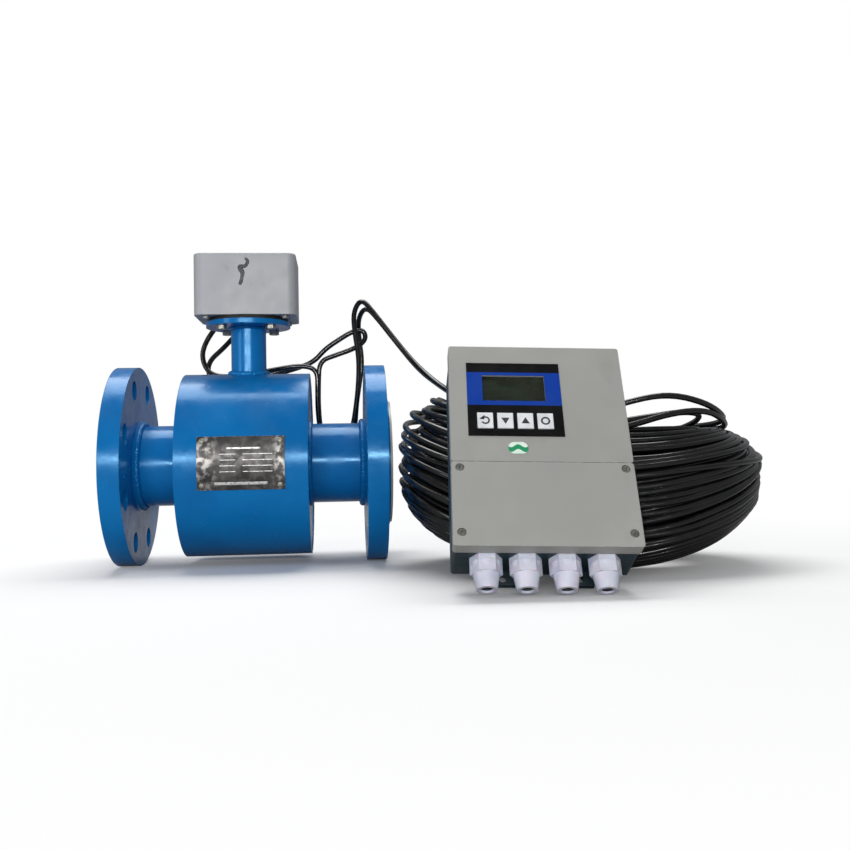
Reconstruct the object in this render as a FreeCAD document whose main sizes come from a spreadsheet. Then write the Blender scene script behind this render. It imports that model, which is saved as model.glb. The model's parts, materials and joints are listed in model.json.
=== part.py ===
# Electromagnetic flow meter, split type: a DN65 flanged sensor with a junction box on
# its neck, a wall-mount converter leaning beside it, and the two cables between them.
# Millimetres. X runs along the flow bore, Y away from the display side, Z up.
# The origin is the middle of the bore; the floor is one flange radius below it.
import FreeCAD, Part
import math
import os
import re
import Sketcher

doc = FreeCAD.newDocument("flow_meter")
dims = doc.addObject("Spreadsheet::Sheet", "dims")
vec = FreeCAD.Vector

# ---------------------------------------------------------------- driving dimensions
SIZES = [
    # pipe, liner and flanges
    ("face_to_face", 250), ("tube_outer", 73), ("tube_wall", 4), ("liner_wall", 2.5),
    ("flare_thick", 2), ("flare_in", 3), ("flange_dia", 180), ("flange_thick", 18),
    ("raised_in", 4.5), ("raised_high", 3), ("bolt_edge", 17.5), ("bolt_hole", 18),
    ("bolt_count", 8), ("weld_leg", 5),
    # housing round the coils
    ("stack_shift", -4), ("housing_dia", 166), ("housing_wall", 3),
    ("housing_wide", 112), ("plate_thick", 3), ("plate_inset", 1), ("fit_gap", 0.1),
    # magnet system
    ("shoe_thick", 3), ("shoe_long", 60), ("shoe_arc", 110), ("core_dia", 32),
    ("winding_dia", 54), ("winding_high", 13), ("band_inner", 120), ("band_thick", 3),
    ("band_wide", 60),
    # electrodes
    ("pin_dia", 5), ("pin_head_dia", 9), ("pin_head_high", 1.2), ("pin_sunk", 0.1),
    ("pin_out", 13),
    ("bush_dia", 10), ("bush_collar_dia", 15), ("bush_collar", 3), ("pin_nut_flats", 9),
    ("pin_nut_high", 4),
    # neck and its bolted plate
    ("neck_dia", 32), ("neck_wall", 3), ("plate_low", 126), ("neck_plate_dia", 77),
    ("neck_plate_thick", 4.5), ("gasket_thick", 3.5), ("gasket_in", 2.5),
    ("neck_bolt_in", 7.5), ("neck_bolt_dia", 5), ("neck_head_flats", 8),
    ("neck_head_high", 3.6), ("lead_dia", 9),
    # junction box
    ("box_wide", 91), ("box_deep", 68), ("box_high", 55.5), ("box_wall", 3.5),
    ("box_corner", 8), ("box_top_edge", 1.5), ("box_floor", 4), ("box_screw_dia", 4),
    ("box_head_dia", 7.5), ("box_head_high", 2.6), ("box_screw_in", 10),
    ("box_screw_back", 9.5), ("box_boss_dia", 9), ("box_block_wide", 46),
    ("box_block_deep", 18), ("box_block_high", 14),
    ("box_gland_one", -22), ("box_gland_two", 4.5), ("box_gland_up", 19),
    ("box_gland_flats", 14), ("box_thread_dia", 12), ("box_gland_hex", 4),
    ("box_gland_cap", 11), ("box_gland_mouth", 10), ("box_thread_in", 7),
    # nameplate
    ("name_wide", 73), ("name_high", 45), ("name_thick", 0.8), ("name_gap", 0.15), ("name_centre", 1.5),
    ("rivet_dia", 3), ("rivet_head_dia", 5), ("rivet_head_high", 1), ("rivet_edge", 4),
    # converter: place of the middle of the lower front edge, and its angles
    ("cnv_x", 213.1), ("cnv_y", -281.2), ("cnv_lift", 34.4), ("cnv_turn", -2.1),
    ("cnv_lean", -30.3), ("cnv_roll", 2.0),
    # converter case
    ("case_wide", 125), ("case_high", 160), ("cover_deep", 11), ("base_deep", 36),
    ("case_wall", 3), ("case_corner", 2), ("base_step", 1), ("seam_level", 63),
    ("seam_gap", 0.4), ("seal_thick", 1), ("seal_wide", 3), ("cover_screw_in", 5.9),
    ("cover_screw_low", 9.6), ("cover_screw_down", 5), ("cover_screw_dia", 3),
    ("cover_head_dia", 5.6), ("cover_head_high", 2), ("cover_boss_dia", 9.5),
    ("screw_in", 20), ("lug_wide", 20), ("lug_drop", 9), ("lug_thick", 5),
    ("lug_place", 26.4), ("lug_hole", 5.5),
    # display and keys
    ("overlay_in", 12.5), ("overlay_wide", 67.2), ("overlay_down", 15),
    ("overlay_tall", 62), ("overlay_thick", 0.4), ("window_in", 11.2),
    ("window_wide", 44.7), ("window_up", 29.3), ("window_tall", 21.9),
    ("window_gap", 0.15), ("window_thick", 2), ("key_wide", 11.1), ("key_tall", 12.5),
    ("key_up_from", 12.4), ("key_in", 12.1), ("key_pitch", 14.07), ("key_proud", 1),
    ("key_gap", 0.35), ("key_flange", 1), ("key_travel", 0.6), ("stem_dia", 4),
    ("board_gap", 3), ("board_thick", 1.6), ("lcd_margin", 2.5), ("board_margin", 1),
    ("post_dia", 6), ("small_screw", 2.5), ("small_head", 4.5), ("small_head_high", 1.6),
    # inside the converter
    ("main_in", 12.5), ("main_up", 9), ("main_down", 10), ("main_stand", 6),
    ("main_post_dia", 6), ("main_post_in", 5), ("psu_wide", 42), ("psu_tall", 36),
    ("psu_deep", 18), ("psu_in", 4), ("psu_down", 20), ("strip_in", 12.5),
    ("strip_tall", 15), ("strip_deep", 14), ("strip_low", 24), ("strip_ways", 12),
    ("strip_slot", 5), ("strip_cut", 4),
    ("label_in", 34), ("label_up", 10.7), ("label_wide", 13.8), ("label_tall", 9.3),
    ("label_round", 4.4), ("label_thick", 0.2),
    # converter glands
    ("gland_side", 22.9), ("gland_deep", 22), ("gland_flats", 19), ("gland_thread", 15.2),
    ("gland_bore", 10), ("gland_hex", 4), ("gland_cap_hex", 8), ("gland_reach", 21.5),
    ("gland_tip", 14), ("gland_mouth", 9), ("gland_in", 9), ("locknut_high", 4),
    ("seal_hole", 6),
    # cables and coil
    ("cable_dia", 5), ("coil_left", 237), ("coil_right", 327), ("coil_near", -154.5),
    ("coil_bend", 67), ("coil_thick", 84), ("coil_high", 116), ("coil_rest", 275),
    ("coil_rock", 300),
]
for row, (alias, value) in enumerate(SIZES, start=1):
    dims.set("A%d" % row, alias.replace("_", " "))
    dims.set("B%d" % row, str(value))
    dims.setAlias("B%d" % row, alias)
doc.recompute()
NAMES = {alias for alias, value in SIZES}


def val(alias):
    """The number a named size has now."""
    return float(dims.get(alias))


def link(text):
    """An expression over the named sizes, as the document wants it."""
    return re.sub(r"[a-z_]+", lambda w: "dims." + w.group(0) if w.group(0) in NAMES
                  else w.group(0), str(text))


def bind(obj, **props):
    """Bind properties to the named sizes; __ in a name stands for a dot."""
    for name, text in props.items():
        obj.setExpression(name.replace("__", "."), link(text))
    return obj


def at(obj, x=0, y=0, z=0):
    for axis, text in zip("xyz", (x, y, z)):
        if str(text) != "0":
            obj.setExpression("Placement.Base." + axis, link(text))
    return obj


def seat(obj):
    """Put an upright converter piece at the converter's leaning place."""
    obj.setExpression("Placement", link(
        "create(<<placement>>; create(<<vector>>; cnv_x; cnv_y; cnv_lift - flange_dia / 2); "
        "create(<<rotation>>; create(<<vector>>; 0; 0; 1); cnv_turn) * "
        "create(<<rotation>>; create(<<vector>>; 1; 0; 0); cnv_lean) * "
        "create(<<rotation>>; create(<<vector>>; 0; 1; 0); cnv_roll))"))
    return obj


# ---------------------------------------------------------------- solid helpers
TURN = {"X": (vec(0, 1, 0), 90), "Y": (vec(1, 0, 0), -90), "Z": (vec(0, 0, 1), 0)}
PIECES = []


def cylinder(radius, length, axis="Z", x=0, y=0, z=0):
    c = doc.addObject("Part::Cylinder", "cylinder")
    bind(c, Radius=radius, Height=length)
    c.Placement = FreeCAD.Placement(vec(0, 0, 0), FreeCAD.Rotation(*TURN[axis]))
    return at(c, x, y, z)


def cone(low, high, length, axis="Z", x=0, y=0, z=0):
    c = doc.addObject("Part::Cone", "cone")
    bind(c, Radius1=low, Radius2=high, Height=length)
    c.Placement = FreeCAD.Placement(vec(0, 0, 0), FreeCAD.Rotation(*TURN[axis]))
    return at(c, x, y, z)


def block(x0, x1, y0, y1, z0, z1):
    b = doc.addObject("Part::Box", "block")
    bind(b, Length="(%s) - (%s)" % (x1, x0), Width="(%s) - (%s)" % (y1, y0),
         Height="(%s) - (%s)" % (z1, z0))
    return at(b, x0, y0, z0)


def hexagon(flats, length, axis="Z", x=0, y=0, z=0):
    p = doc.addObject("Part::Prism", "hexagon")
    p.Polygon = 6
    bind(p, Circumradius="(%s) / 2 / cos(30)" % flats, Height=length)
    p.Placement = FreeCAD.Placement(vec(0, 0, 0), FreeCAD.Rotation(*TURN[axis]))
    return at(p, x, y, z)


def join(*parts):
    if len(parts) == 1:
        return parts[0]
    f = doc.addObject("Part::MultiFuse", "join")
    f.Shapes = list(parts)
    return f


def cut(base, *tools):
    c = doc.addObject("Part::Cut", "cut")
    c.Base = base
    c.Tool = join(*tools)
    return c


def common(a, b):
    c = doc.addObject("Part::Common", "common")
    c.Base, c.Tool = a, b
    return c


def group(*parts):
    g = doc.addObject("Part::Compound", "group")
    g.Links = list(parts)
    return g


def piece(label, obj, leaning=False):
    """Name a finished piece and keep it for export."""
    if obj.TypeId in ("Part::Box", "Part::Cylinder") and leaning:
        obj = group(obj)
    obj.Label = label
    if leaning:
        seat(obj)
    PIECES.append(obj)
    return obj


def new_body(label):
    b = doc.addObject("PartDesign::Body", label)
    b.Label = label
    return b


def new_sketch(body, role, offset=None):
    sk = body.newObject("Sketcher::SketchObject", "sketch")
    plane = [f for f in body.Origin.OriginFeatures if f.Role == role][0]
    sk.AttachmentSupport = [(plane, "")]
    sk.MapMode = "FlatFace"
    if offset is not None:
        sk.setExpression("AttachmentOffset.Base.z", link(offset))
    return sk


def hold(sk, text, kind, *where):
    """Constrain one distance or radius of a sketch to an expression."""
    c = sk.addConstraint(Sketcher.Constraint(kind, *where, numeric(text)))
    sk.setExpression("Constraints[%d]" % c, link(text))


def outline(sk, points):
    """A closed polygon whose corners are each held by two named distances."""
    n = len(points)
    start = sk.GeometryCount
    xy = [(numeric(px), numeric(py)) for px, py in points]
    for i in range(n):
        a, b = xy[i], xy[(i + 1) % n]
        sk.addGeometry(Part.LineSegment(vec(a[0], a[1], 0), vec(b[0], b[1], 0)), False)
    for i in range(n):
        sk.addConstraint(Sketcher.Constraint("Coincident", start + i, 2,
                                             start + (i + 1) % n, 1))
    for i, (px, py) in enumerate(points):
        for kind, text in (("DistanceX", px), ("DistanceY", py)):
            hold(sk, text, kind, start + i, 1)


def disc(sk, cx, cy, radius):
    x, y, r = numeric(cx), numeric(cy), numeric(radius)
    g = sk.addGeometry(Part.Circle(vec(x, y, 0), vec(0, 0, 1), r), False)
    hold(sk, cx, "DistanceX", g, 3)
    hold(sk, cy, "DistanceY", g, 3)
    hold(sk, radius, "Radius", g)


def numeric(text):
    """Work a size expression out as a plain number, for first positions."""
    words = {alias: val(alias) for alias in set(re.findall(r"[a-z_]+", str(text))) & NAMES}
    total = str(text)
    for word in sorted(words, key=len, reverse=True):
        total = re.sub(r"\b%s\b" % word, "(%r)" % words[word], total)
    total = total.replace("cos(", "COS(").replace("sin(", "SIN(")
    return arithmetic(total)


def arithmetic(text):
    """Plain + - * / with brackets, COS and SIN in degrees."""
    tokens = re.findall(r"COS|SIN|\d+\.?\d*(?:e-?\d+)?|[-+*/()]", text)
    pos = [0]

    def peek():
        return tokens[pos[0]] if pos[0] < len(tokens) else None

    def take():
        pos[0] += 1
        return tokens[pos[0] - 1]

    def atom():
        t = take()
        if t == "-":
            return -atom()
        if t == "(":
            v = total()
            take()
            return v
        if t in ("COS", "SIN"):
            take()
            v = math.radians(total())
            take()
            return math.cos(v) if t == "COS" else math.sin(v)
        return float(t)

    def product():
        v = atom()
        while peek() in ("*", "/"):
            v = v * atom() if take() == "*" else v / atom()
        return v

    def total():
        v = product()
        while peek() in ("+", "-"):
            v = v + product() if take() == "+" else v - product()
        return v

    return total()


def pad(body, sk, length, back=False):
    p = body.newObject("PartDesign::Pad", "pad")
    p.Profile = sk
    p.Reversed = back
    bind(p, Length=length)
    return p


def pocket(body, sk, length=None, back=False):
    p = body.newObject("PartDesign::Pocket", "pocket")
    p.Profile = sk
    if length is None:
        p.Type = "ThroughAll"
        p.Midplane = True
    else:
        p.Reversed = back
        bind(p, Length=length)
    return p


def revolve(body, sk):
    r = body.newObject("PartDesign::Revolution", "revolution")
    r.Profile = sk
    r.ReferenceAxis = (sk, ["H_Axis"])
    r.Angle = 360
    return r


def rounded(body, feature, radius, keep):
    """Fillet the edges of a feature for which keep(edge) is true."""
    doc.recompute()
    names = ["Edge%d" % (i + 1) for i, e in enumerate(feature.Shape.Edges) if keep(e)]
    f = body.newObject("PartDesign::Fillet", "fillet")
    f.Base = (feature, names)
    bind(f, Radius=radius)
    return f


def straight(edge, axis):
    """True for a straight edge along one axis of its body."""
    if edge.Curve.TypeId != "Part::GeomLine":
        return False
    d = edge.Vertexes[1].Point - edge.Vertexes[0].Point
    return abs(abs(getattr(d, axis)) - d.Length) < 1e-6


def slab(label, x0, x1, z0, z1, front, deep, corner=None):
    """An upright plate drawn on the display side: front is its near face."""
    body = new_body(label)
    sk = new_sketch(body, "XZ_Plane", "-(%s)" % front)
    outline(sk, [(x0, z0), (x1, z0), (x1, z1), (x0, z1)])
    p = pad(body, sk, deep, back=True)
    if corner:
        rounded(body, p, corner, lambda e: straight(e, "y"))
    return body


# ---------------------------------------------------------------- sensor: wetted parts
HALF = "face_to_face / 2"
END = "(face_to_face / 2 - flare_thick)"
TUBE_R = "(tube_outer / 2)"
LINER_R = "(tube_outer / 2 - tube_wall)"
BORE_R = "(tube_outer / 2 - tube_wall - liner_wall)"
HOUSING_R = "(housing_dia / 2)"
BOLT_RING = "(flange_dia / 2 - bolt_edge)"
RAISED_R = "(flange_dia / 2 - bolt_edge - bolt_hole / 2 - raised_in)"
FLARE_R = "(flange_dia / 2 - bolt_edge - bolt_hole / 2 - raised_in - flare_in)"
HEAD_SEAT = "(tube_outer / 2 - tube_wall - liner_wall + pin_sunk + pin_head_high)"

pipe = cut(cylinder(TUBE_R, "2 * " + END, "X", x="-" + END),
           cylinder(LINER_R, "face_to_face", "X", x="-" + HALF))
piece("measuring_tube", cut(pipe, cylinder("bush_dia / 2 + fit_gap", "2 * tube_outer", "Y",
                                           x="stack_shift", y="-tube_outer")))

lining = cut(cylinder(LINER_R, "2 * " + END, "X", x="-" + END),
             cylinder(BORE_R, "face_to_face", "X", x="-" + HALF),
             cylinder("pin_dia / 2 + fit_gap", "2 * tube_outer", "Y", x="stack_shift",
                      y="-tube_outer"),
             cylinder("pin_head_dia / 2 + fit_gap", "2 * " + HEAD_SEAT, "Y",
                      x="stack_shift", y="-" + HEAD_SEAT))
flares = [cut(cylinder(FLARE_R, "flare_thick", "X", x=place),
              cylinder(BORE_R, "flare_thick", "X", x=place)) for place in ("-" + HALF, END)]
piece("liner", group(lining, *flares))

for label, side in (("inlet_flange", "-"), ("outlet_flange", "")):
    body = new_body(label)
    sk = new_sketch(body, "XZ_Plane")
    inner = "(face_to_face / 2 - flare_thick - raised_high - flange_thick)"
    outer = "(face_to_face / 2 - flare_thick - raised_high)"
    outline(sk, [(side + "(%s - weld_leg)" % inner, TUBE_R), (side + END, TUBE_R),
                 (side + END, RAISED_R), (side + outer, RAISED_R),
                 (side + outer, "flange_dia / 2"), (side + inner, "flange_dia / 2"),
                 (side + inner, TUBE_R + " + weld_leg")])
    revolve(body, sk)
    sk = new_sketch(body, "YZ_Plane")
    disc(sk, BOLT_RING + " * cos(180 / bolt_count)", BOLT_RING + " * sin(180 / bolt_count)",
         "bolt_hole / 2")
    hole = pocket(body, sk)
    ring = body.newObject("PartDesign::PolarPattern", "bolt_holes")
    ring.Originals = [hole]
    ring.Axis = ([f for f in body.Origin.OriginFeatures if f.Role == "X_Axis"][0], [""])
    ring.Angle = 360
    bind(ring, Occurrences="bolt_count")
    body.Tip = ring
    piece(label, body)

# ---------------------------------------------------------------- sensor: housing
LEFT = "stack_shift - housing_wide / 2"
RIVETS = [(sx, sz) for sx in (-1, 1) for sz in (-1, 1)]


def rivet(radius, length, start, sx, sz):
    """A pin standing radially on the housing near one nameplate corner."""
    c = doc.addObject("Part::Cylinder", "rivet")
    bind(c, Radius=radius, Height=length)
    level = "(name_centre + %d * (name_high / 2 - rivet_edge))" % sz
    tilt = "asin(%s / %s)" % (level, HOUSING_R)
    c.setExpression("Placement", link(
        "create(<<placement>>; create(<<vector>>; stack_shift + %d * (name_wide / 2 - "
        "rivet_edge); -(%s) * cos(%s); (%s) * sin(%s)); create(<<rotation>>; "
        "create(<<vector>>; 1; 0; 0); 90 deg - %s))" % (sx, start, tilt, start, tilt, tilt)))
    return c


shell = cut(cylinder(HOUSING_R, "housing_wide", "X", x=LEFT),
            cylinder(HOUSING_R + " - housing_wall", "housing_wide", "X", x=LEFT))
piece("housing_shell", cut(
    shell,
    cylinder("neck_dia / 2 - neck_wall", "housing_wall * 8", "Z", x="stack_shift",
             z=HOUSING_R + " - housing_wall * 4"),
    *[rivet("rivet_dia / 2 + fit_gap", "housing_wall + 4", HOUSING_R + " - housing_wall - 2",
            sx, sz) for sx, sz in RIVETS]))
for label, place in (
        ("housing_plate_inlet", "stack_shift - housing_wide / 2 + plate_inset"),
        ("housing_plate_outlet", "stack_shift + housing_wide / 2 - plate_inset - plate_thick")):
    piece(label, cut(cylinder(HOUSING_R + " - housing_wall", "plate_thick", "X", x=place),
                     cylinder(TUBE_R, "plate_thick", "X", x=place)))

# ---------------------------------------------------------------- sensor: magnet system
BAND = "(stack_shift - band_wide / 2)"
for label, up in (("upper", 1), ("lower", -1)):
    side = "" if up > 0 else "-"
    arc = cylinder(TUBE_R + " + shoe_thick", "shoe_long", "X", x="stack_shift - shoe_long / 2")
    arc.setExpression("Angle", link("shoe_arc"))
    arc.Placement = FreeCAD.Placement(vec(0, 0, 0), FreeCAD.Rotation(vec(0, 1, 0), 90))
    arc.setExpression("Placement", link(
        "create(<<placement>>; create(<<vector>>; stack_shift - shoe_long / 2; 0; 0); "
        "create(<<rotation>>; create(<<vector>>; 1; 0; 0); %d - shoe_arc / 2) * "
        "create(<<rotation>>; create(<<vector>>; 0; 1; 0); 90))" % (180 if up > 0 else 0)))
    core = cylinder("core_dia / 2", "band_inner / 2", "Z", x="stack_shift",
                    z="0" if up > 0 else "-band_inner / 2")
    iron = common(join(arc, core), cylinder("band_inner / 2", "2 * shoe_long", "X",
                                            x="stack_shift - shoe_long"))
    piece("pole_" + label, cut(iron, cylinder(TUBE_R, "2 * shoe_long", "X",
                                              x="stack_shift - shoe_long")))
    low = TUBE_R + " + shoe_thick" if up > 0 else "-(%s + shoe_thick) - winding_high" % TUBE_R
    piece("coil_" + label, cut(cylinder("winding_dia / 2", "winding_high", "Z",
                                        x="stack_shift", z=low),
                               cylinder("core_dia / 2 + fit_gap", "winding_high", "Z",
                                        x="stack_shift", z=low)))
piece("flux_band", cut(cylinder("band_inner / 2 + band_thick", "band_wide", "X", x=BAND),
                       cylinder("band_inner / 2", "band_wide", "X", x=BAND)))

pins, bushes, nuts = [], [], []
for side in (1, -1):
    turn = FreeCAD.Rotation(vec(1, 0, 0), -90 * side)

    def spoke(kind, radius, length, start):
        part = kind(radius, length)
        part.Placement = FreeCAD.Placement(vec(0, 0, 0), turn)
        return at(part, "stack_shift", "%d * (%s)" % (side, start))

    pins.append(join(
        spoke(cylinder, "pin_dia / 2", "tube_wall + liner_wall + pin_out - pin_sunk",
              BORE_R + " + pin_sunk"),
        spoke(cylinder, "pin_head_dia / 2", "pin_head_high", BORE_R + " + pin_sunk")))
    bushes.append(cut(
        join(spoke(cylinder, "bush_dia / 2", "tube_wall + bush_collar", LINER_R),
             spoke(cylinder, "bush_collar_dia / 2", "bush_collar", TUBE_R)),
        spoke(cylinder, "pin_dia / 2 + fit_gap", "tube_outer", LINER_R + " - 1")))
    nuts.append(cut(spoke(hexagon, "pin_nut_flats", "pin_nut_high", TUBE_R + " + bush_collar"),
                    spoke(cylinder, "pin_dia / 2 + fit_gap", "tube_outer", LINER_R)))
piece("electrodes", group(*pins))
piece("electrode_bushes", group(*[cut(b, cylinder(LINER_R, "tube_outer", "X",
                                                  x="stack_shift - tube_outer / 2"))
                                  for b in bushes]))
piece("electrode_nuts", group(*nuts))

# ---------------------------------------------------------------- nameplate
curved = cut(cylinder(HOUSING_R + " + name_gap + name_thick", "name_wide", "X",
                      x="stack_shift - name_wide / 2"),
             cylinder(HOUSING_R + " + name_gap", "name_wide", "X",
                      x="stack_shift - name_wide / 2"))
blank = common(curved, block("stack_shift - name_wide / 2", "stack_shift + name_wide / 2",
                             "-housing_dia", "-housing_dia / 8", "name_centre - name_high / 2",
                             "name_centre + name_high / 2"))
piece("nameplate", cut(blank, *[rivet("rivet_dia / 2 + fit_gap", "8", HOUSING_R + " - 4", sx, sz)
                                for sx, sz in RIVETS]))
piece("nameplate_rivets", group(*[
    join(rivet("rivet_dia / 2", "housing_wall + name_gap + name_thick + rivet_head_high / 2",
               HOUSING_R + " - housing_wall", sx, sz),
         rivet("rivet_head_dia / 2", "rivet_head_high",
               HOUSING_R + " + name_gap + name_thick + fit_gap", sx, sz))
    for sx, sz in RIVETS]))

# ---------------------------------------------------------------- neck
NECK_IN = "(neck_dia / 2 - neck_wall)"
DECK = "(plate_low + neck_plate_thick)"
BOX_LOW = "(plate_low + neck_plate_thick + gasket_thick)"
CORNERS = [(sx, sy) for sx in (-1, 1) for sy in (-1, 1)]
stub = cut(cylinder("neck_dia / 2", "plate_low - housing_dia / 4", "Z", x="stack_shift",
                    z="housing_dia / 4"),
           cylinder(NECK_IN, "plate_low", "Z", x="stack_shift"))
piece("neck_tube", cut(stub, cylinder(HOUSING_R, "2 * neck_dia", "X",
                                      x="stack_shift - neck_dia")))


def neck_pins(radius, length, low):
    return [cylinder(radius, length, "Z",
                     x="stack_shift + %d * (neck_plate_dia / 2 - neck_bolt_in) * cos(45)" % sx,
                     y="%d * (neck_plate_dia / 2 - neck_bolt_in) * sin(45)" % sy, z=low)
            for sx, sy in CORNERS]


piece("neck_plate", cut(
    cylinder("neck_plate_dia / 2", "neck_plate_thick", "Z", x="stack_shift", z="plate_low"),
    cylinder(NECK_IN, "neck_plate_thick", "Z", x="stack_shift", z="plate_low"),
    *neck_pins("neck_bolt_dia / 2 + fit_gap", "neck_plate_thick", "plate_low")))
piece("neck_gasket", cut(
    cylinder("neck_plate_dia / 2 - gasket_in", "gasket_thick", "Z", x="stack_shift", z=DECK),
    cylinder(NECK_IN, "gasket_thick", "Z", x="stack_shift", z=DECK),
    *neck_pins("neck_bolt_dia / 2 + fit_gap", "gasket_thick", DECK)))
bolts = []
for sx, sy in CORNERS:
    x = "stack_shift + %d * (neck_plate_dia / 2 - neck_bolt_in) * cos(45)" % sx
    y = "%d * (neck_plate_dia / 2 - neck_bolt_in) * sin(45)" % sy
    bolts.append(join(
        cylinder("neck_bolt_dia / 2", "neck_plate_thick + gasket_thick + box_floor", "Z",
                 x=x, y=y, z="plate_low"),
        hexagon("neck_head_flats", "neck_head_high", "Z", x=x, y=y,
                z="plate_low - neck_head_high")))
piece("neck_bolts", group(*bolts))
BLOCK_LOW = "(%s + box_floor)" % BOX_LOW
piece("sensor_leads", cylinder("lead_dia / 2", BLOCK_LOW + " - band_inner / 2 - band_thick",
                               "Z", x="stack_shift", z="band_inner / 2 + band_thick"))

# ---------------------------------------------------------------- junction box
BX0, BX1 = "stack_shift - box_wide / 2", "stack_shift + box_wide / 2"
hood = new_body("hood")
sk = new_sketch(hood, "XY_Plane", BOX_LOW)
outline(sk, [(BX0, "-box_deep / 2"), (BX1, "-box_deep / 2"), (BX1, "box_deep / 2"),
             (BX0, "box_deep / 2")])
p = pad(hood, sk, "box_high")
p = rounded(hood, p, "box_corner", lambda e: straight(e, "z"))
top = numeric(BOX_LOW + " + box_high")
p = rounded(hood, p, "box_top_edge",
            lambda e: all(abs(v.Point.z - top) < 1e-4 for v in e.Vertexes))
sk = new_sketch(hood, "XY_Plane", BOX_LOW)
outline(sk, [(BX0 + " + box_wall", "box_wall - box_deep / 2"),
             (BX1 + " - box_wall", "box_wall - box_deep / 2"),
             (BX1 + " - box_wall", "box_deep / 2 - box_wall"),
             (BX0 + " + box_wall", "box_deep / 2 - box_wall")])
p = pocket(hood, sk, "box_high - box_wall", back=True)


def box_pins(kind, size, length, low):
    return [kind(size, length, "Z", x="stack_shift + %d * (box_wide / 2 - box_screw_in)" % sx,
                 y="%d * (box_deep / 2 - box_screw_back)" % sy, z=low) for sx, sy in CORNERS]


GLANDS_X = ("box_gland_one", "box_gland_two")
piece("box_hood", cut(
    join(hood, *box_pins(cylinder, "box_boss_dia / 2",
                         "box_high - box_floor - box_wall / 2", BLOCK_LOW)),
    *(box_pins(cylinder, "box_screw_dia / 2 + fit_gap", "box_high / 2", BLOCK_LOW) +
      [cylinder("box_thread_dia / 2 + fit_gap", "box_wall * 4", "Y", x=gx,
                y="box_deep / 2 - 2 * box_wall", z=BOX_LOW + " + box_gland_up") for gx in GLANDS_X])))
floor = block(BX0 + " + box_wall + fit_gap", BX1 + " - box_wall - fit_gap",
              "box_wall + fit_gap - box_deep / 2", "box_deep / 2 - box_wall - fit_gap",
              BOX_LOW, BLOCK_LOW)
piece("box_base", cut(
    floor, cylinder("lead_dia / 2 + fit_gap", "box_floor", "Z", x="stack_shift", z=BOX_LOW),
    *(neck_pins("neck_bolt_dia / 2 + fit_gap", "box_floor", BOX_LOW) +
      box_pins(cylinder, "box_screw_dia / 2 + fit_gap", "box_floor", BOX_LOW))))
screws = []
for sx, sy in CORNERS:
    x, y = "stack_shift + %d * (box_wide / 2 - box_screw_in)" % sx, "%d * (box_deep / 2 - box_screw_back)" % sy
    screws.append(join(
        cylinder("box_screw_dia / 2", "box_floor + box_high / 2 - 1", "Z", x=x, y=y, z=BOX_LOW),
        cone("box_head_dia / 2 * 0.8", "box_head_dia / 2", "box_head_high", "Z", x=x, y=y,
             z=BOX_LOW + " - box_head_high")))
piece("box_screws", group(*screws))
piece("box_terminals", cut(
    block("stack_shift - box_block_wide / 2", "stack_shift + box_block_wide / 2",
          "-box_block_deep / 2", "box_block_deep / 2", BLOCK_LOW,
          BLOCK_LOW + " + box_block_high"),
    *[block("stack_shift - box_block_wide / 2 + %d / 6 * box_block_wide - 0.7" % k,
            "stack_shift - box_block_wide / 2 + %d / 6 * box_block_wide + 0.7" % k,
            "-box_block_deep", "box_block_deep", BLOCK_LOW + " + box_block_high * 0.7",
            BLOCK_LOW + " + box_block_high + 1") for k in range(1, 6)]))

bodies, caps, seals = [], [], []
WALL = "box_deep / 2"
for gx in GLANDS_X:
    def turned(kind, size, length, start, more=None):
        args = (size, length) if more is None else (size, more, length)
        return kind(*args, "Y", x=gx, y=start, z=BOX_LOW + " + box_gland_up")
    bodies.append(cut(
        join(turned(cylinder, "box_thread_dia / 2", "box_wall + box_thread_in",
                    WALL + " - box_wall - box_thread_in + box_wall"),
             turned(hexagon, "box_gland_flats", "box_gland_hex", WALL)),
        turned(cylinder, "cable_dia / 2 + 1.5", "3 * box_gland_cap", WALL + " - box_gland_cap")))
    start = WALL + " + box_gland_hex"
    caps.append(cut(
        join(turned(hexagon, "box_gland_flats", "box_gland_cap * 0.55", start),
             turned(cone, "box_gland_flats / 2", "box_gland_cap",
                    start, "box_gland_mouth / 2 + 0.6")),
        turned(cylinder, "cable_dia / 2 + 1.5", "3 * box_gland_cap", WALL)))
    seals.append(cut(
        turned(cylinder, "cable_dia / 2 + 1.5", "box_gland_hex + box_gland_cap", WALL),
        turned(cylinder, "cable_dia / 2", "3 * box_gland_cap", WALL + " - box_gland_cap")))
piece("box_gland_bodies", group(*bodies))
piece("box_gland_caps", group(*caps))
piece("box_gland_seals", group(*seals))

# ---------------------------------------------------------------- converter case
CX0, CX1 = "-case_wide / 2", "case_wide / 2"
SCREW_U = "(case_wide / 2 - cover_screw_in)"
SCREW_TOP = "(seam_level - cover_screw_down)"
OVER_L = "(overlay_in - case_wide / 2)"
OVER_R = "(overlay_in + overlay_wide - case_wide / 2)"
OVER_LO = "(case_high - overlay_down - overlay_tall)"
OVER_HI = "(case_high - overlay_down)"
RIM = "(cover_deep + seal_thick)"
BACK = "(cover_deep + seal_thick + base_deep)"
FLOOR_IN = "(%s - case_wall)" % BACK
SCREWS = [(sx, lv) for sx in (-1, 1) for lv in ("cover_screw_low", SCREW_TOP)]
WINDOW = (OVER_L + " + window_in", OVER_L + " + window_in + window_wide",
          OVER_LO + " + window_up", OVER_LO + " + window_up + window_tall")
KEY_LEVEL = OVER_LO + " + key_up_from"
KEYS = ("key_cycle", "key_down", "key_up", "key_enter")


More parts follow.
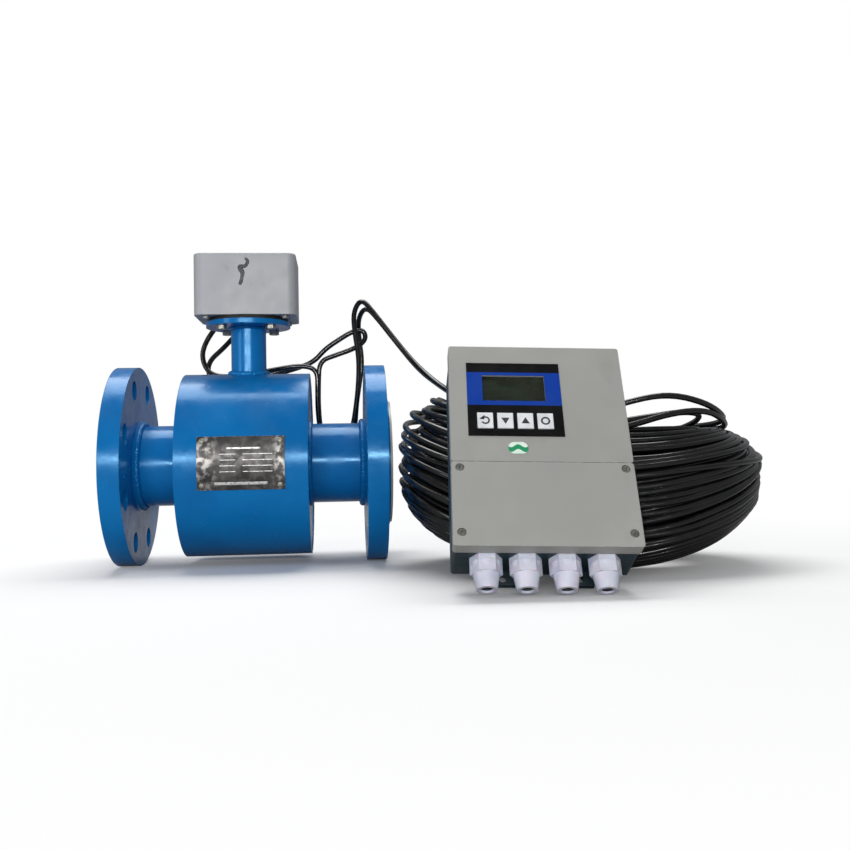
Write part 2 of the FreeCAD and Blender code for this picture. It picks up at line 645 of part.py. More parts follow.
def key_block(order, grow, front, back):
    middle = "(%s + key_in + %d * key_pitch)" % (OVER_L, order)
    return block("%s - key_wide / 2 - (%s)" % (middle, grow),
                 "%s + key_wide / 2 + (%s)" % (middle, grow), front, back,
                 "%s - key_tall / 2 - (%s)" % (KEY_LEVEL, grow),
                 "%s + key_tall / 2 + (%s)" % (KEY_LEVEL, grow))


def screw_row(kind, size, length, start, reach=SCREWS):
    return [kind(size, length, "Y", x="%d * %s" % (sx, SCREW_U), y=start, z=lv)
            for sx, lv in reach]


POSTS = [(ux, vz) for ux in (OVER_L + " + 2", OVER_R + " - 2")
         for vz in (OVER_LO + " - 1.5", OVER_HI + " - 2")]


def post_row(size, length, start):
    return [cylinder(size, length, "Y", x=ux, y=start, z=vz) for ux, vz in POSTS]


front = slab("front", CX0, CX1, "seam_level", "case_high", "0", "cover_deep", "case_corner")
hollow = block(CX0 + " + case_wall", CX1 + " - case_wall", "case_wall", "cover_deep + 1",
               "seam_level + case_wall", "case_high - case_wall")
piece("converter_front", cut(
    join(cut(front, hollow), *post_row("post_dia / 2", "board_gap", "case_wall")),
    block(*WINDOW[:2], "-1", "case_wall + 1", *WINDOW[2:]),
    *([key_block(k, "key_gap", "-1", "case_wall + 1") for k in range(4)] +
      post_row("small_screw / 2 + fit_gap", "board_gap", "case_wall"))), leaning=True)

lower = slab("lower", CX0, CX1, "0", "seam_level - seam_gap", "0", "cover_deep", "case_corner")
hollow = block(CX0 + " + case_wall", CX1 + " - case_wall", "case_wall", "cover_deep + 1",
               "case_wall", "seam_level - seam_gap - case_wall")
bosses = screw_row(cylinder, "cover_boss_dia / 2", "cover_deep - case_wall", "case_wall")
bosses = [common(b, block(CX0, CX1, "0", "cover_deep", "0", "seam_level - seam_gap"))
          for b in bosses]
piece("terminal_cover", cut(
    join(cut(lower, hollow), *bosses),
    *(screw_row(cylinder, "cover_screw_dia / 2 + fit_gap", "2 * cover_deep", "-1") +
      screw_row(cylinder, "cover_head_dia / 2 + 2 * fit_gap", "cover_head_high", "0"))),
    leaning=True)

EX0, EX1 = "base_step - case_wide / 2", "case_wide / 2 - base_step"
ELO, EHI = "base_step", "case_high - base_step"
shell = slab("shell", EX0, EX1, ELO, EHI, RIM, "base_deep", "case_corner")
hollows = [block("%s + case_wall" % EX0, "%s - case_wall" % EX1, "%s - 1" % RIM, FLOOR_IN,
                 "seam_level + case_wall", "%s - case_wall" % EHI),
           block("%s + case_wall" % EX0, "%s - case_wall" % EX1, "%s - 1" % RIM, FLOOR_IN,
                 "%s + case_wall" % ELO, "seam_level - case_wall")]
columns = [common(c, block(EX0, EX1, RIM, BACK, ELO, EHI)) for c in
           screw_row(cylinder, "cover_boss_dia / 2", "base_deep", RIM)]
lugs = [block("%d * lug_place - lug_wide / 2" % s, "%d * lug_place + lug_wide / 2" % s,
              "%s - lug_thick" % BACK, BACK, "-lug_drop", "case_wall") for s in (-1, 1)]
GLANDS = [k - 1.5 for k in range(4)]
PITCH = "((case_wide - 2 * gland_side) / 3)"
piece("converter_base", cut(
    join(cut(shell, *hollows), *(columns + lugs)),
    *(screw_row(cylinder, "cover_screw_dia / 2 + fit_gap", "screw_in", RIM) +
      [cylinder("lug_hole / 2", "3 * lug_thick", "Y", x="%d * lug_place" % s,
                y="%s - 2 * lug_thick" % BACK, z="lug_hole / 2 - lug_drop + 2")
       for s in (-1, 1)] +
      [cylinder("gland_thread / 2 + fit_gap", "4 * case_wall", "Z", x="%s * %s" % (k, PITCH),
                y="gland_deep", z="-case_wall") for k in GLANDS] +
      [block("-lug_place / 2", "lug_place / 2", "%s - 10" % FLOOR_IN, FLOOR_IN,
             "seam_level - 2 * case_wall", "seam_level + 2 * case_wall")])), leaning=True)

edge = slab("edge", EX0, EX1, ELO, EHI, "cover_deep", "seal_thick", "case_corner")
piece("case_seal", cut(
    edge, block("%s + seal_wide" % EX0, "%s - seal_wide" % EX1, "0", BACK,
                "seam_level + seal_wide", "%s - seal_wide" % EHI),
    block("%s + seal_wide" % EX0, "%s - seal_wide" % EX1, "0", BACK,
          "cover_screw_low + cover_boss_dia / 2", SCREW_TOP + " - cover_boss_dia / 2"),
    block("cover_boss_dia / 2 - " + SCREW_U, SCREW_U + " - cover_boss_dia / 2", "0",
          BACK, "%s + seal_wide" % ELO, "seam_level - seal_wide"),
    *screw_row(cylinder, "cover_screw_dia / 2 + fit_gap", BACK, "0")), leaning=True)
piece("cover_screws", group(*[
    join(*screw_row(cylinder, "cover_screw_dia / 2", "cover_deep + seal_thick + screw_in - 2",
                    "cover_head_high / 2", [at_corner]),
         *screw_row(cylinder, "cover_head_dia / 2", "cover_head_high", "0", [at_corner]))
    for at_corner in SCREWS]), leaning=True)

# ---------------------------------------------------------------- converter display
panel = slab("panel", OVER_L, OVER_R, OVER_LO, OVER_HI,
             "-overlay_thick", "overlay_thick")
piece("display_overlay", cut(
    panel, block(*WINDOW[:2], "-1", "1", *WINDOW[2:]),
    *[key_block(k, "key_gap", "-1", "1") for k in range(4)]), leaning=True)
piece("display_window", block(
    WINDOW[0] + " + window_gap", WINDOW[1] + " - window_gap", "case_wall - window_thick",
    "case_wall", WINDOW[2] + " + window_gap", WINDOW[3] + " - window_gap"), leaning=True)
piece("lcd_module", block(
    WINDOW[0] + " - lcd_margin", WINDOW[1] + " + lcd_margin", "case_wall",
    "case_wall + board_gap", WINDOW[2] + " - lcd_margin", WINDOW[3] + " + lcd_margin"),
    leaning=True)
STEM_END = "case_wall + board_gap - key_travel - 0.2"
for order, label in enumerate(KEYS):
    middle = "%s + key_in + %d * key_pitch" % (OVER_L, order)
    piece(label, join(
        key_block(order, "0", "-key_proud", "case_wall"),
        key_block(order, "key_gap + key_flange / 2", "case_wall", "case_wall + key_flange"),
        cylinder("stem_dia / 2", "board_gap - key_travel - 0.2", "Y", x=middle,
                 y="case_wall", z=KEY_LEVEL)), leaning=True)
BOARD = "(case_wall + board_gap)"
board = block(OVER_L + " - board_margin", OVER_R + " + board_margin", BOARD,
              BOARD + " + board_thick", OVER_LO + " - board_margin - 3",
              OVER_HI + " + board_margin")
piece("display_board", cut(board, *post_row("small_screw / 2 + fit_gap", "board_gap + 9",
                                            "case_wall")), leaning=True)
screws = []
for ux, vz in POSTS:
    screws.append(join(
        cylinder("small_screw / 2", "board_gap + board_thick + small_head_high - 0.3", "Y",
                 x=ux, y="case_wall + 0.3", z=vz),
        cylinder("small_head / 2", "small_head_high", "Y", x=ux, y=BOARD + " + board_thick",
                 z=vz)))
piece("display_screws", group(*screws), leaning=True)

# ---------------------------------------------------------------- converter inside
MAIN = "(%s - main_stand - board_thick)" % FLOOR_IN
MAIN_L = "(main_in - case_wide / 2)"
MAIN_LO = "(seam_level + main_up)"
MAIN_HI = "(case_high - main_down)"
spots = [(ux, vz) for ux in (MAIN_L + " + main_post_in", "-%s - main_post_in" % MAIN_L)
         for vz in (MAIN_LO + " + main_post_in", MAIN_HI + " - main_post_in")]
piece("main_board", block(MAIN_L, "-" + MAIN_L, MAIN, MAIN + " + board_thick",
                          MAIN_LO, MAIN_HI), leaning=True)
piece("board_posts", group(*[cylinder("main_post_dia / 2", "main_stand", "Y", x=ux,
                                      y=MAIN + " + board_thick", z=vz)
                             for ux, vz in spots]), leaning=True)
piece("power_supply", block(
    MAIN_L + " + psu_in", MAIN_L + " + psu_in + psu_wide", MAIN + " - psu_deep", MAIN,
    "case_high - psu_down - psu_tall", "case_high - psu_down"), leaning=True)
strip = block("strip_in - case_wide / 2", "case_wide / 2 - strip_in", FLOOR_IN + " - strip_deep", FLOOR_IN,
              "strip_low", "strip_low + strip_tall")
slots = []
for k in range(int(val("strip_ways"))):
    middle = "(case_wide - 2 * strip_in) * (%d.5 / strip_ways - 0.5)" % k
    slots.append(block(middle + " - strip_slot / 2", middle + " + strip_slot / 2",
                       FLOOR_IN + " - strip_deep - 1", FLOOR_IN + " - strip_deep + strip_cut",
                       "strip_low - 1", "strip_low + strip_tall * 0.6"))
piece("terminal_strip", cut(strip, *slots), leaning=True)
piece("oval_label", slab("oval", OVER_L + " + label_in - label_wide / 2",
                         OVER_L + " + label_in + label_wide / 2",
                         "seam_level + label_up - label_tall / 2",
                         "seam_level + label_up + label_tall / 2",
                         "-label_thick", "label_thick", "label_round"), leaning=True)

# ---------------------------------------------------------------- converter glands
bodies, caps, seals, locknuts = [], [], [], []
for k in GLANDS:
    def hung(kind, size, length, low, more=None):
        args = (size, length) if more is None else (size, more, length)
        return kind(*args, "Z", x="%s * %s" % (k, PITCH), y="gland_deep", z=low)
    cap_top = "(base_step - gland_hex)"
    cap_long = "(base_step - gland_hex + gland_reach)"
    inside = "(base_step + case_wall)"
    bodies.append(cut(
        join(hung(cylinder, "gland_thread / 2", "gland_hex + case_wall + gland_in", cap_top),
             hung(hexagon, "gland_flats", "gland_hex", cap_top)),
        hung(cylinder, "gland_bore / 2", "4 * gland_in", cap_top + " - 1")))
    caps.append(cut(
        join(hung(hexagon, "gland_flats", "gland_cap_hex", cap_top + " - gland_cap_hex"),
             hung(cone, "gland_tip / 2", cap_long, "-gland_reach",
                  "gland_flats / 2 + 0.9")),
        hung(cylinder, "gland_mouth / 2", "2 * gland_reach", "-gland_reach - 1")))
    seals.append(cut(
        hung(cylinder, "gland_mouth / 2", cap_long + " - 1.5", "1.5 - gland_reach"),
        hung(cylinder, "seal_hole / 2", "2 * gland_reach", "-gland_reach - 1")))
    locknuts.append(cut(
        hung(hexagon, "gland_flats", "locknut_high", inside),
        hung(cylinder, "gland_thread / 2 + fit_gap", "2 * locknut_high", inside + " - 1")))
piece("gland_bodies", group(*bodies), leaning=True)
piece("gland_caps", group(*caps), leaning=True)
piece("gland_seals", group(*seals), leaning=True)
piece("gland_locknuts", group(*locknuts), leaning=True)

# ---------------------------------------------------------------- coil and cables
FLOOR_Z = "-flange_dia / 2"
coil = new_body("coil")
path = new_sketch(coil, "XY_Plane", FLOOR_Z + " + coil_high / 2")
x0, x1 = val("coil_left"), val("coil_right")
y0, y1, bend = val("coil_near"), val("coil_near") + 2 * val("coil_bend"), val("coil_bend")
path.addGeometry(Part.LineSegment(vec(x0, y0, 0), vec(x1, y0, 0)), False)
path.addGeometry(Part.ArcOfCircle(Part.Circle(vec(x1, y0 + bend, 0), vec(0, 0, 1), bend),
                                  -math.pi / 2, math.pi / 2), False)
path.addGeometry(Part.LineSegment(vec(x1, y1, 0), vec(x0, y1, 0)), False)
path.addGeometry(Part.ArcOfCircle(Part.Circle(vec(x0, y0 + bend, 0), vec(0, 0, 1), bend),
                                  math.pi / 2, 3 * math.pi / 2), False)
for a, b in ((0, 1), (1, 2), (2, 3), (3, 0)):
    path.addConstraint(Sketcher.Constraint("Tangent", a, 2, b, 1))
path.addConstraint(Sketcher.Constraint("Horizontal", 0))
hold(path, "coil_left", "DistanceX", 0, 1)
hold(path, "coil_near", "DistanceY", 0, 1)
hold(path, "coil_right", "DistanceX", 0, 2)
hold(path, "coil_bend", "Radius", 1)
ring = new_sketch(coil, "YZ_Plane", "coil_left")
half, tall = val("coil_thick") / 2, (val("coil_high") - val("coil_thick")) / 2
zc = val("coil_high") / 2 - val("flange_dia") / 2
ring.addGeometry(Part.ArcOfCircle(Part.Circle(vec(y0, zc + tall, 0), vec(0, 0, 1), half),
                                  0, math.pi), False)
ring.addGeometry(Part.LineSegment(vec(y0 - half, zc + tall, 0), vec(y0 - half, zc - tall, 0)),
                 False)
ring.addGeometry(Part.ArcOfCircle(Part.Circle(vec(y0, zc - tall, 0), vec(0, 0, 1), half),
                                  math.pi, 2 * math.pi), False)
ring.addGeometry(Part.LineSegment(vec(y0 + half, zc - tall, 0), vec(y0 + half, zc + tall, 0)),
                 False)
for a, b in ((0, 1), (1, 2), (2, 3), (3, 0)):
    ring.addConstraint(Sketcher.Constraint("Tangent", a, 2, b, 1))
hold(ring, "coil_near", "DistanceX", 0, 3)
hold(ring, "coil_high - coil_thick / 2 - flange_dia / 2", "DistanceY", 0, 3)
hold(ring, "coil_near", "DistanceX", 2, 3)
hold(ring, "coil_thick / 2 - flange_dia / 2", "DistanceY", 2, 3)
hold(ring, "coil_thick / 2", "Radius", 0)
wound = coil.newObject("PartDesign::AdditivePipe", "wound")
wound.Profile = ring
wound.Spine = (path, [""])
rocker = cylinder("coil_rock", "2 * coil_bend + 2 * coil_thick", "Y", x="coil_rest",
                  y="coil_near - coil_thick", z="coil_rock - flange_dia / 2")
piece("cable_coil", common(coil, rocker))

# hand-laid routes from each gland to the coil: (x, y, z) of each corner
ROUTES = {
    "signal_cable": [
        (-22, 49, 153), (-22.5, 66, 152), (-37.6, 76, 145.1), (-52.4, 74, 125.8),
        (-58.2, 72, 107.5), (-49.2, 69, 88.2), (-21.3, 65, 86.5), (12.5, 61, 92.7),
        (43.3, 58, 97.1), (57.6, 56, 91.7), (57.3, 56, 71.9), (57.2, 57, 50.1),
        (59.9, 60, 26.3), (76.6, 62, 16.1), (90.7, 62, 29.9), (95, 60, 53.7),
        (97.9, 57, 77.4), (98.8, 54, 103.1), (95.1, 50, 126.5), (93.5, 45, 147.6),
        (101.9, 38, 160.3), (113.6, 31, 144.4), (129.2, 20, 121.3), (148.5, 2, 93.2),
        (165.7, -22, 73.1), (178.5, -52, 59.8), (189, -92, 48), (201, -124, 43),
        (207, -142, 36), (208, -145, 22)],
    "excitation_cable": [
        (4.5, 49, 153), (3.5, 68, 152), (-9, 84, 142), (-21.3, 90, 136.8),
        (-37.2, 86, 118), (-52.8, 82, 103.5), (-51.4, 78, 86), (-30.3, 74, 78.3),
        (2, 69, 85.6), (35, 66, 93.9), (54, 64, 100.6), (65.2, 63, 113.4),
        (80.3, 62, 123.2), (92.4, 61, 130.5), (103.9, 60, 132.3), (106.7, 61, 122.3),
        (95.1, 65, 113.9), (76, 68, 107.8), (59.4, 68, 101.9), (58.2, 68, 80.8),
        (57.7, 70, 52.8), (60.6, 72, 22.6), (80.4, 74, 9.2), (93.9, 74, 30.1),
        (95.8, 74, 58.5), (99.2, 74, 78.7), (102.6, 74, 101.1), (99.5, 72, 125.3),
        (98.6, 64, 144.5), (106.6, 54, 155), (118.8, 43, 139.2), (135.3, 28, 114.5),
        (154.7, 10, 86.3), (171.9, -14, 69), (183.9, -44, 56.7), (203, -84, 50),
        (220, -118, 46), (229, -142, 39), (231, -148, 24)],
}


def cable(label):
    """A round cable along its route: straight runs joined by tangent arcs."""
    points = [vec(*p) for p in ROUTES[label]]
    edges, start, radii = [], points[0], []
    for a, b, c in zip(points, points[1:], points[2:]):
        into, out = (a - b), (c - b)
        short = min(into.Length, out.Length)
        half_turn = (math.pi - into.getAngle(out)) / 2
        radius = 0.45 * short / math.tan(half_turn)
        radii.append(radius)
        first = b + into.normalize() * (0.45 * short)
        last = b + out.normalize() * (0.45 * short)
        inward = (into + out).normalize()
        mid = b + inward * (radius / math.cos(half_turn) - radius)
        edges += [Part.LineSegment(start, first).toShape(), Part.Arc(first, mid, last).toShape()]
        start = last
    edges.append(Part.LineSegment(start, points[-1]).toShape())
    wire = Part.Wire(edges)
    radius = val("cable_dia") / 2
    end = Part.Wire([Part.Circle(points[0], points[1] - points[0], radius).toShape()])
    solid = wire.makePipeShell([end], True, True)
    f = doc.addObject("Part::Feature", label)
    f.Shape = solid
    print(label, "length %.0f" % wire.Length, "radii", " ".join("%.1f" % r for r in radii),
          "volume ratio %.3f" % (solid.Volume / (math.pi * radius ** 2 * wire.Length)))
    return piece(label, f)


for label in ROUTES:
    cable(label)

# ---------------------------------------------------------------- check and export
doc.recompute()
for obj in doc.Objects:
    if "Invalid" in obj.State or "Error" in obj.State:
        raise RuntimeError("%s did not build: %s" % (obj.Label, obj.State))
os.makedirs("parts", exist_ok=True)
for obj in PIECES:
    if obj.Shape.isNull() or not obj.Shape.isValid() or not obj.Shape.Solids:
        raise RuntimeError("%s has no sound solid" % obj.Label)
    obj.Shape.exportStep("parts/%s.step" % obj.Label)
print(len(PIECES), "pieces written")
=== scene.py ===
# %% [markdown]
# # A flow meter with its cables, dressed in Blender
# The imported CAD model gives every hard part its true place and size. This lesson loads
# it, sets the camera and the light, lays the two cables and their coil, and then gives
# each piece the finish that it has on the real object. All lengths are in metres.

# %% Load the frame
import bpy, json, math, random
from mathutils import Matrix, Vector


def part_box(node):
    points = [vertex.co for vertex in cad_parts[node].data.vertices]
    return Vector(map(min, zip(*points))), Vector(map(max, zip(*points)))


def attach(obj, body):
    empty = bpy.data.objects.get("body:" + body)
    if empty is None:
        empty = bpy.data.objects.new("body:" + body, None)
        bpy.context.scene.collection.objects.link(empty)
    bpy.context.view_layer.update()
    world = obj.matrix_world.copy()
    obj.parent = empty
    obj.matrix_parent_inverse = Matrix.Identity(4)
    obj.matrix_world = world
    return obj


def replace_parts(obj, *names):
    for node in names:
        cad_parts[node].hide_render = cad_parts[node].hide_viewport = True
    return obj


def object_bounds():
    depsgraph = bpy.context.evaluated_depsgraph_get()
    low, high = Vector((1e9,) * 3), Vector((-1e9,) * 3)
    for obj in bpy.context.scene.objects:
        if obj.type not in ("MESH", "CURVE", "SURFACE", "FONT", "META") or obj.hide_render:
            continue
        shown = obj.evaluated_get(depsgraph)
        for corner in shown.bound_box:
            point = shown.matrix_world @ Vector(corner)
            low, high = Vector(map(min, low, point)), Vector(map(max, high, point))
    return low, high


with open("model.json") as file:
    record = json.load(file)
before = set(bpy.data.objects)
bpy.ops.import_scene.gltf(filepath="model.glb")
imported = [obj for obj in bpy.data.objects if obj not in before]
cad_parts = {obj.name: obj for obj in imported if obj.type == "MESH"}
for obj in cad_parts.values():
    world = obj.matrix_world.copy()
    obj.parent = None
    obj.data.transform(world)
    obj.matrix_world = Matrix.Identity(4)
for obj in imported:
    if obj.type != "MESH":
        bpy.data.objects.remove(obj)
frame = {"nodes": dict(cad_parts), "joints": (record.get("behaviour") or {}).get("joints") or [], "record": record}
cad_low, cad_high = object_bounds()
nodes, record = frame["nodes"], frame["record"]
print("frame:", len(nodes), "nodes, box", [round(v, 3) for v in (*cad_low, *cad_high)])

# %% [markdown]
# The camera stands a little right of the sensor's middle, about 0.9 m away and almost
# level with the pipe. A hand-held camera is never quite level, so it also looks up by 2
# degrees and is rolled by 1 degree. From that near, the flange rims open into ovals and
# the leaning display unit looks larger than the sensor behind it.

# %% Camera
def aim(yaw, pitch, roll):
    """Camera axes (right, up, back) for a turn, a tilt and a roll in degrees."""
    y, p, r = (math.radians(v) for v in (yaw, pitch, roll))
    ahead = Vector((math.sin(y) * math.cos(p), math.cos(y) * math.cos(p), math.sin(p)))
    right = Vector((math.cos(y), -math.sin(y), 0))
    up = right.cross(ahead)
    return (right * math.cos(r) + up * math.sin(r), up * math.cos(r) - right * math.sin(r),
            -ahead)


STAND = (0.0803, -0.8842, 0.0031)
YAW, PITCH, ROLL = 5.06, 1.97, -1.10
LENS_MM = 40.03
camera = bpy.data.objects.new("camera", bpy.data.cameras.new("camera"))
bpy.context.scene.collection.objects.link(camera)
camera.data.lens = LENS_MM
camera.data.clip_start, camera.data.clip_end = 0.02, 60
camera.matrix_world = (Matrix.Translation(STAND)
                       @ Matrix(aim(YAW, PITCH, ROLL)).transposed().to_4x4())
bpy.context.scene.camera = camera
print("camera at", [round(v, 3) for v in camera.location])

# %% [markdown]
# Each cable leaves the back of the junction box, dips behind the housing, hangs in a
# bight behind the pipe, rises over the flange and runs down into the coil. A NURBS
# spline bends like a cable does: it follows a few given points without touching
# them. These are the points; the coil's turns are more points of the same spline, worked
# out by a loop further down.

# %% Cable routes
CABLE = 0.005
ROUTES = {
    "signal_cable": [
        (-0.022, 0.049, 0.153), (-0.0225, 0.066, 0.152), (-0.0376, 0.076, 0.1451),
        (-0.0524, 0.074, 0.1258), (-0.0582, 0.072, 0.1075), (-0.0492, 0.069, 0.0882),
        (-0.0213, 0.065, 0.0865), (0.0125, 0.061, 0.0927), (0.0433, 0.058, 0.0971),
        (0.0576, 0.056, 0.0917), (0.0573, 0.056, 0.0719), (0.0572, 0.057, 0.0501),
        (0.0599, 0.06, 0.0263), (0.0766, 0.062, 0.0161), (0.0907, 0.062, 0.0299),
        (0.095, 0.06, 0.0537), (0.0979, 0.057, 0.0774), (0.0988, 0.054, 0.1031),
        (0.0951, 0.05, 0.1265), (0.0935, 0.045, 0.1476), (0.1019, 0.038, 0.1603),
        (0.1136, 0.031, 0.1444), (0.1292, 0.02, 0.1213), (0.1485, 0.002, 0.0932),
        (0.1657, -0.022, 0.0731), (0.1785, -0.052, 0.0598), (0.188, -0.092, 0.048),
        (0.197, -0.122, 0.044), (0.211, -0.143, 0.039)],
    "excitation_cable": [
        (0.0045, 0.049, 0.153), (0.0035, 0.068, 0.152), (-0.009, 0.084, 0.142),
        (-0.0213, 0.09, 0.1368), (-0.0372, 0.086, 0.118), (-0.0528, 0.082, 0.1035),
        (-0.0514, 0.078, 0.086), (-0.0303, 0.074, 0.0783), (0.002, 0.069, 0.0856),
        (0.035, 0.066, 0.0939), (0.054, 0.064, 0.1006), (0.0652, 0.063, 0.1134),
        (0.0803, 0.062, 0.1232), (0.0924, 0.061, 0.1305), (0.1039, 0.06, 0.1323),
        (0.1067, 0.061, 0.1223), (0.0951, 0.065, 0.1139), (0.076, 0.068, 0.1078),
        (0.0594, 0.068, 0.1019), (0.0582, 0.068, 0.0808), (0.0577, 0.07, 0.0528),
        (0.0606, 0.072, 0.0226), (0.0804, 0.074, 0.0092), (0.0939, 0.074, 0.0301),
        (0.0958, 0.074, 0.0585), (0.0992, 0.074, 0.0787), (0.1026, 0.074, 0.1011),
        (0.0995, 0.072, 0.1253), (0.0986, 0.064, 0.1445), (0.1066, 0.054, 0.155),
        (0.1188, 0.043, 0.1392), (0.1353, 0.028, 0.1145), (0.1547, 0.01, 0.0863),
        (0.1719, -0.014, 0.069), (0.1839, -0.044, 0.0567), (0.203, -0.084, 0.05),
        (0.217, -0.118, 0.046), (0.234, -0.139, 0.04)],
}
print("routes:", ", ".join(f"{k} {len(v)} points" for k, v in ROUTES.items()))

# %% [markdown]
# Seen from above, the coil is an oval: two straight sides joined by half circles. Cut
# across, it is a hank with a round top and bottom and straight flanks, in which the
# strands lie in layers round a core. These helpers turn a number of turns, and a distance
# round a layer, into a place in that shape, and give each cable a slow random drift.

# %% The coil's shape
# left end of the straight sides, their length, the coil's middle, the half circles' radius
COIL_X, COIL_LONG, COIL_Y, COIL_BEND = 0.237, 0.090, -0.0875, 0.067
# the hank's middle height, half the length of its flanks, its whole height
HANK_Z, HANK_FLAT, HANK_TALL = -0.032, 0.016, 0.116


def racetrack(turns):
    """A point of the coil's middle line after so many turns, and the way out from there."""
    half = math.pi * COIL_BEND
    lap = 2 * (COIL_LONG + half)
    s = (turns % 1) * lap
    if s < COIL_LONG:
        return Vector((COIL_X + s, COIL_Y - COIL_BEND, 0)), Vector((0, -1, 0))
    if s < COIL_LONG + half:
        a, cx = (s - COIL_LONG) / COIL_BEND, COIL_X + COIL_LONG
    elif s < 2 * COIL_LONG + half:
        return (Vector((COIL_X + 2 * COIL_LONG + half - s, COIL_Y + COIL_BEND, 0)),
                Vector((0, 1, 0)))
    else:
        a, cx = (s - 2 * COIL_LONG - half) / COIL_BEND + math.pi, COIL_X
    out = Vector((math.sin(a), -math.cos(a), 0))
    return Vector((cx, COIL_Y, 0)) + out * COIL_BEND, out


def section(ring, along):
    """Where a strand sits in the hank's section: out from and up from its middle.
    ring is its distance from the core, along is how far round from the top it lies."""
    quarter = math.pi * ring / 2
    along %= 4 * quarter + 4 * HANK_FLAT
    side = 1
    if along > 2 * quarter + 2 * HANK_FLAT:
        along, side = 4 * quarter + 4 * HANK_FLAT - along, -1
    if along < quarter:
        a = along / ring
        return side * ring * math.sin(a), HANK_FLAT + ring * math.cos(a)
    if along < quarter + 2 * HANK_FLAT:
        return side * ring, HANK_FLAT - (along - quarter)
    a = (along - quarter - 2 * HANK_FLAT) / ring
    return side * ring * math.cos(a), -HANK_FLAT - ring * math.sin(a)


def wander(seed, steps=6):
    """A smooth random wave along the cable, from -1 to 1."""
    rng = random.Random(seed)
    table = [rng.uniform(-1, 1) for _ in range(2400)]

    def wave(turns):
        x = turns * steps
        i, f = int(x), x - int(x)
        f = f * f * (3 - 2 * f)
        return table[i] * (1 - f) + table[i + 1] * f
    return wave


def ease(x):
    """Runs smoothly from 0 to 1 as x does."""
    x = min(1, max(0, x))
    return x * x * (3 - 2 * x)


print("coil: one lap is", round(2 * (COIL_LONG + math.pi * COIL_BEND), 3), "m")

# %% [markdown]
# The hank is wound turn by turn. A strand starts on top of the hank and works its way
# down one side, then back up one layer further in, and so on towards the core: the outer
# layers lie close and the inner ones are slack. Round each turn the whole hank also
# twists a little, so that the strands that are low in front are high at the back.
# Real turns are never alike: each one drifts by a few millimetres, the hank's two ends
# rise off the floor because the cable is springy, a few turns stand off it, and beside
# the flange, which the hank just clears, its upper turns spread out loosely.

# %% The coil's turns
PER_TURN = 18
# where the hank rests on the floor, the radius of its arched underside, how fast that fades
REST_X, ROCK, ROCK_FADE = 0.275, 0.300, 1.3
# how high the loose turns rise, their place round the lap, how far that spreads
SWELL, SWELL_AT, SWELL_WIDE = 0.016, 0.83, 0.14
# no strand comes nearer to the flange than this
FLANGE_SIDE = 0.129
# the hank's twist as a share of a layer's length, and its place round the lap
TWIST, TWIST_AT = 0.1, 0.075
# a strand's two drifts along its layer, and its smallest and random sink below it
DRIFT_SLOW, DRIFT_FAST, SINK, SINK_MORE = 0.0015, 0.0012, 0.0006, 0.0012
# where each layer begins and ends, from the hank's top to its bottom, and the part of a
# turn in which a strand steps over to the next layer
LAYER_ENDS, STEP_OVER = (0.02, 0.98), 0.35
# a smooth spline cuts inside its corner points, so they stand out by this factor
STAND_OUT = 1.02
# each layer: distance from the core, turns in it
LAYERS = {
    "signal_cable": [(0.0393, 27), (0.0341, 22), (0.0285, 13), (0.0225, 4)],
    "excitation_cable": [(0.0393, 27), (0.0341, 22), (0.0285, 13), (0.0225, 9),
                         (0.0165, 6), (0.0105, 3)],
}
# each stray: turn, place round the lap, how far that spreads, up, out, along the section
STRAYS = {
    "signal_cable": [(1, 0.16, 0.10, 0.027, 0.003, 0), (1, 0.34, 0.11, 0.004, 0.008, 0.034),
                     (3, 0.20, 0.08, 0.017, 0, 0), (3, 0.36, 0.10, 0.002, 0.006, 0.030),
                     (2, 0.86, 0.12, 0.018, 0.001, 0.030), (4, 0.83, 0.12, 0.013, 0.002, 0.026),
                     (5, 0.80, 0.14, 0.017, 0.010, 0), (6, 0.80, 0.11, 0.011, 0.001, 0.016),
                     (7, 0.76, 0.12, 0.013, 0.012, 0), (8, 0.80, 0.10, 0.008, 0.001, 0.010),
                     (8, 0.40, 0.09, 0, 0.003, -0.016), (9, 0.82, 0.10, 0.010, 0.012, 0),
                     (11, 0.77, 0.12, 0.006, 0.011, 0), (11, 0.30, 0.08, 0, 0.004, 0.018),
                     (12, 0.84, 0.10, 0.003, 0.012, 0), (13, 0.78, 0.10, -0.002, 0.010, 0),
                     (14, 0.78, 0.08, 0, 0.004, -0.022), (15, 0.82, 0.11, 0.002, 0.012, 0),
                     (17, 0.36, 0.10, 0, 0.003, -0.020), (18, 0.81, 0.10, 0, 0.010, 0),
                     (20, 0.86, 0.07, 0, 0.004, 0.020), (21, 0.80, 0.10, 0, 0.008, 0)],
    "excitation_cable": [(1, 0.22, 0.12, 0.014, 0, 0), (1, 0.79, 0.13, 0.019, 0.012, 0),
                         (2, 0.80, 0.12, 0.014, 0, 0.034), (3, 0.88, 0.12, 0.014, 0, 0.030),
                         (4, 0.76, 0.11, 0.013, 0, 0.040), (5, 0.34, 0.10, 0.010, 0, 0),
                         (6, 0.82, 0.10, 0.010, 0, 0.044), (7, 0.79, 0.14, 0.016, 0.014, 0),
                         (8, 0.75, 0.12, 0.014, 0.016, 0), (9, 0.83, 0.10, 0.013, 0.010, 0),
                         (10, 0.78, 0.12, 0.010, 0.018, 0)],
}


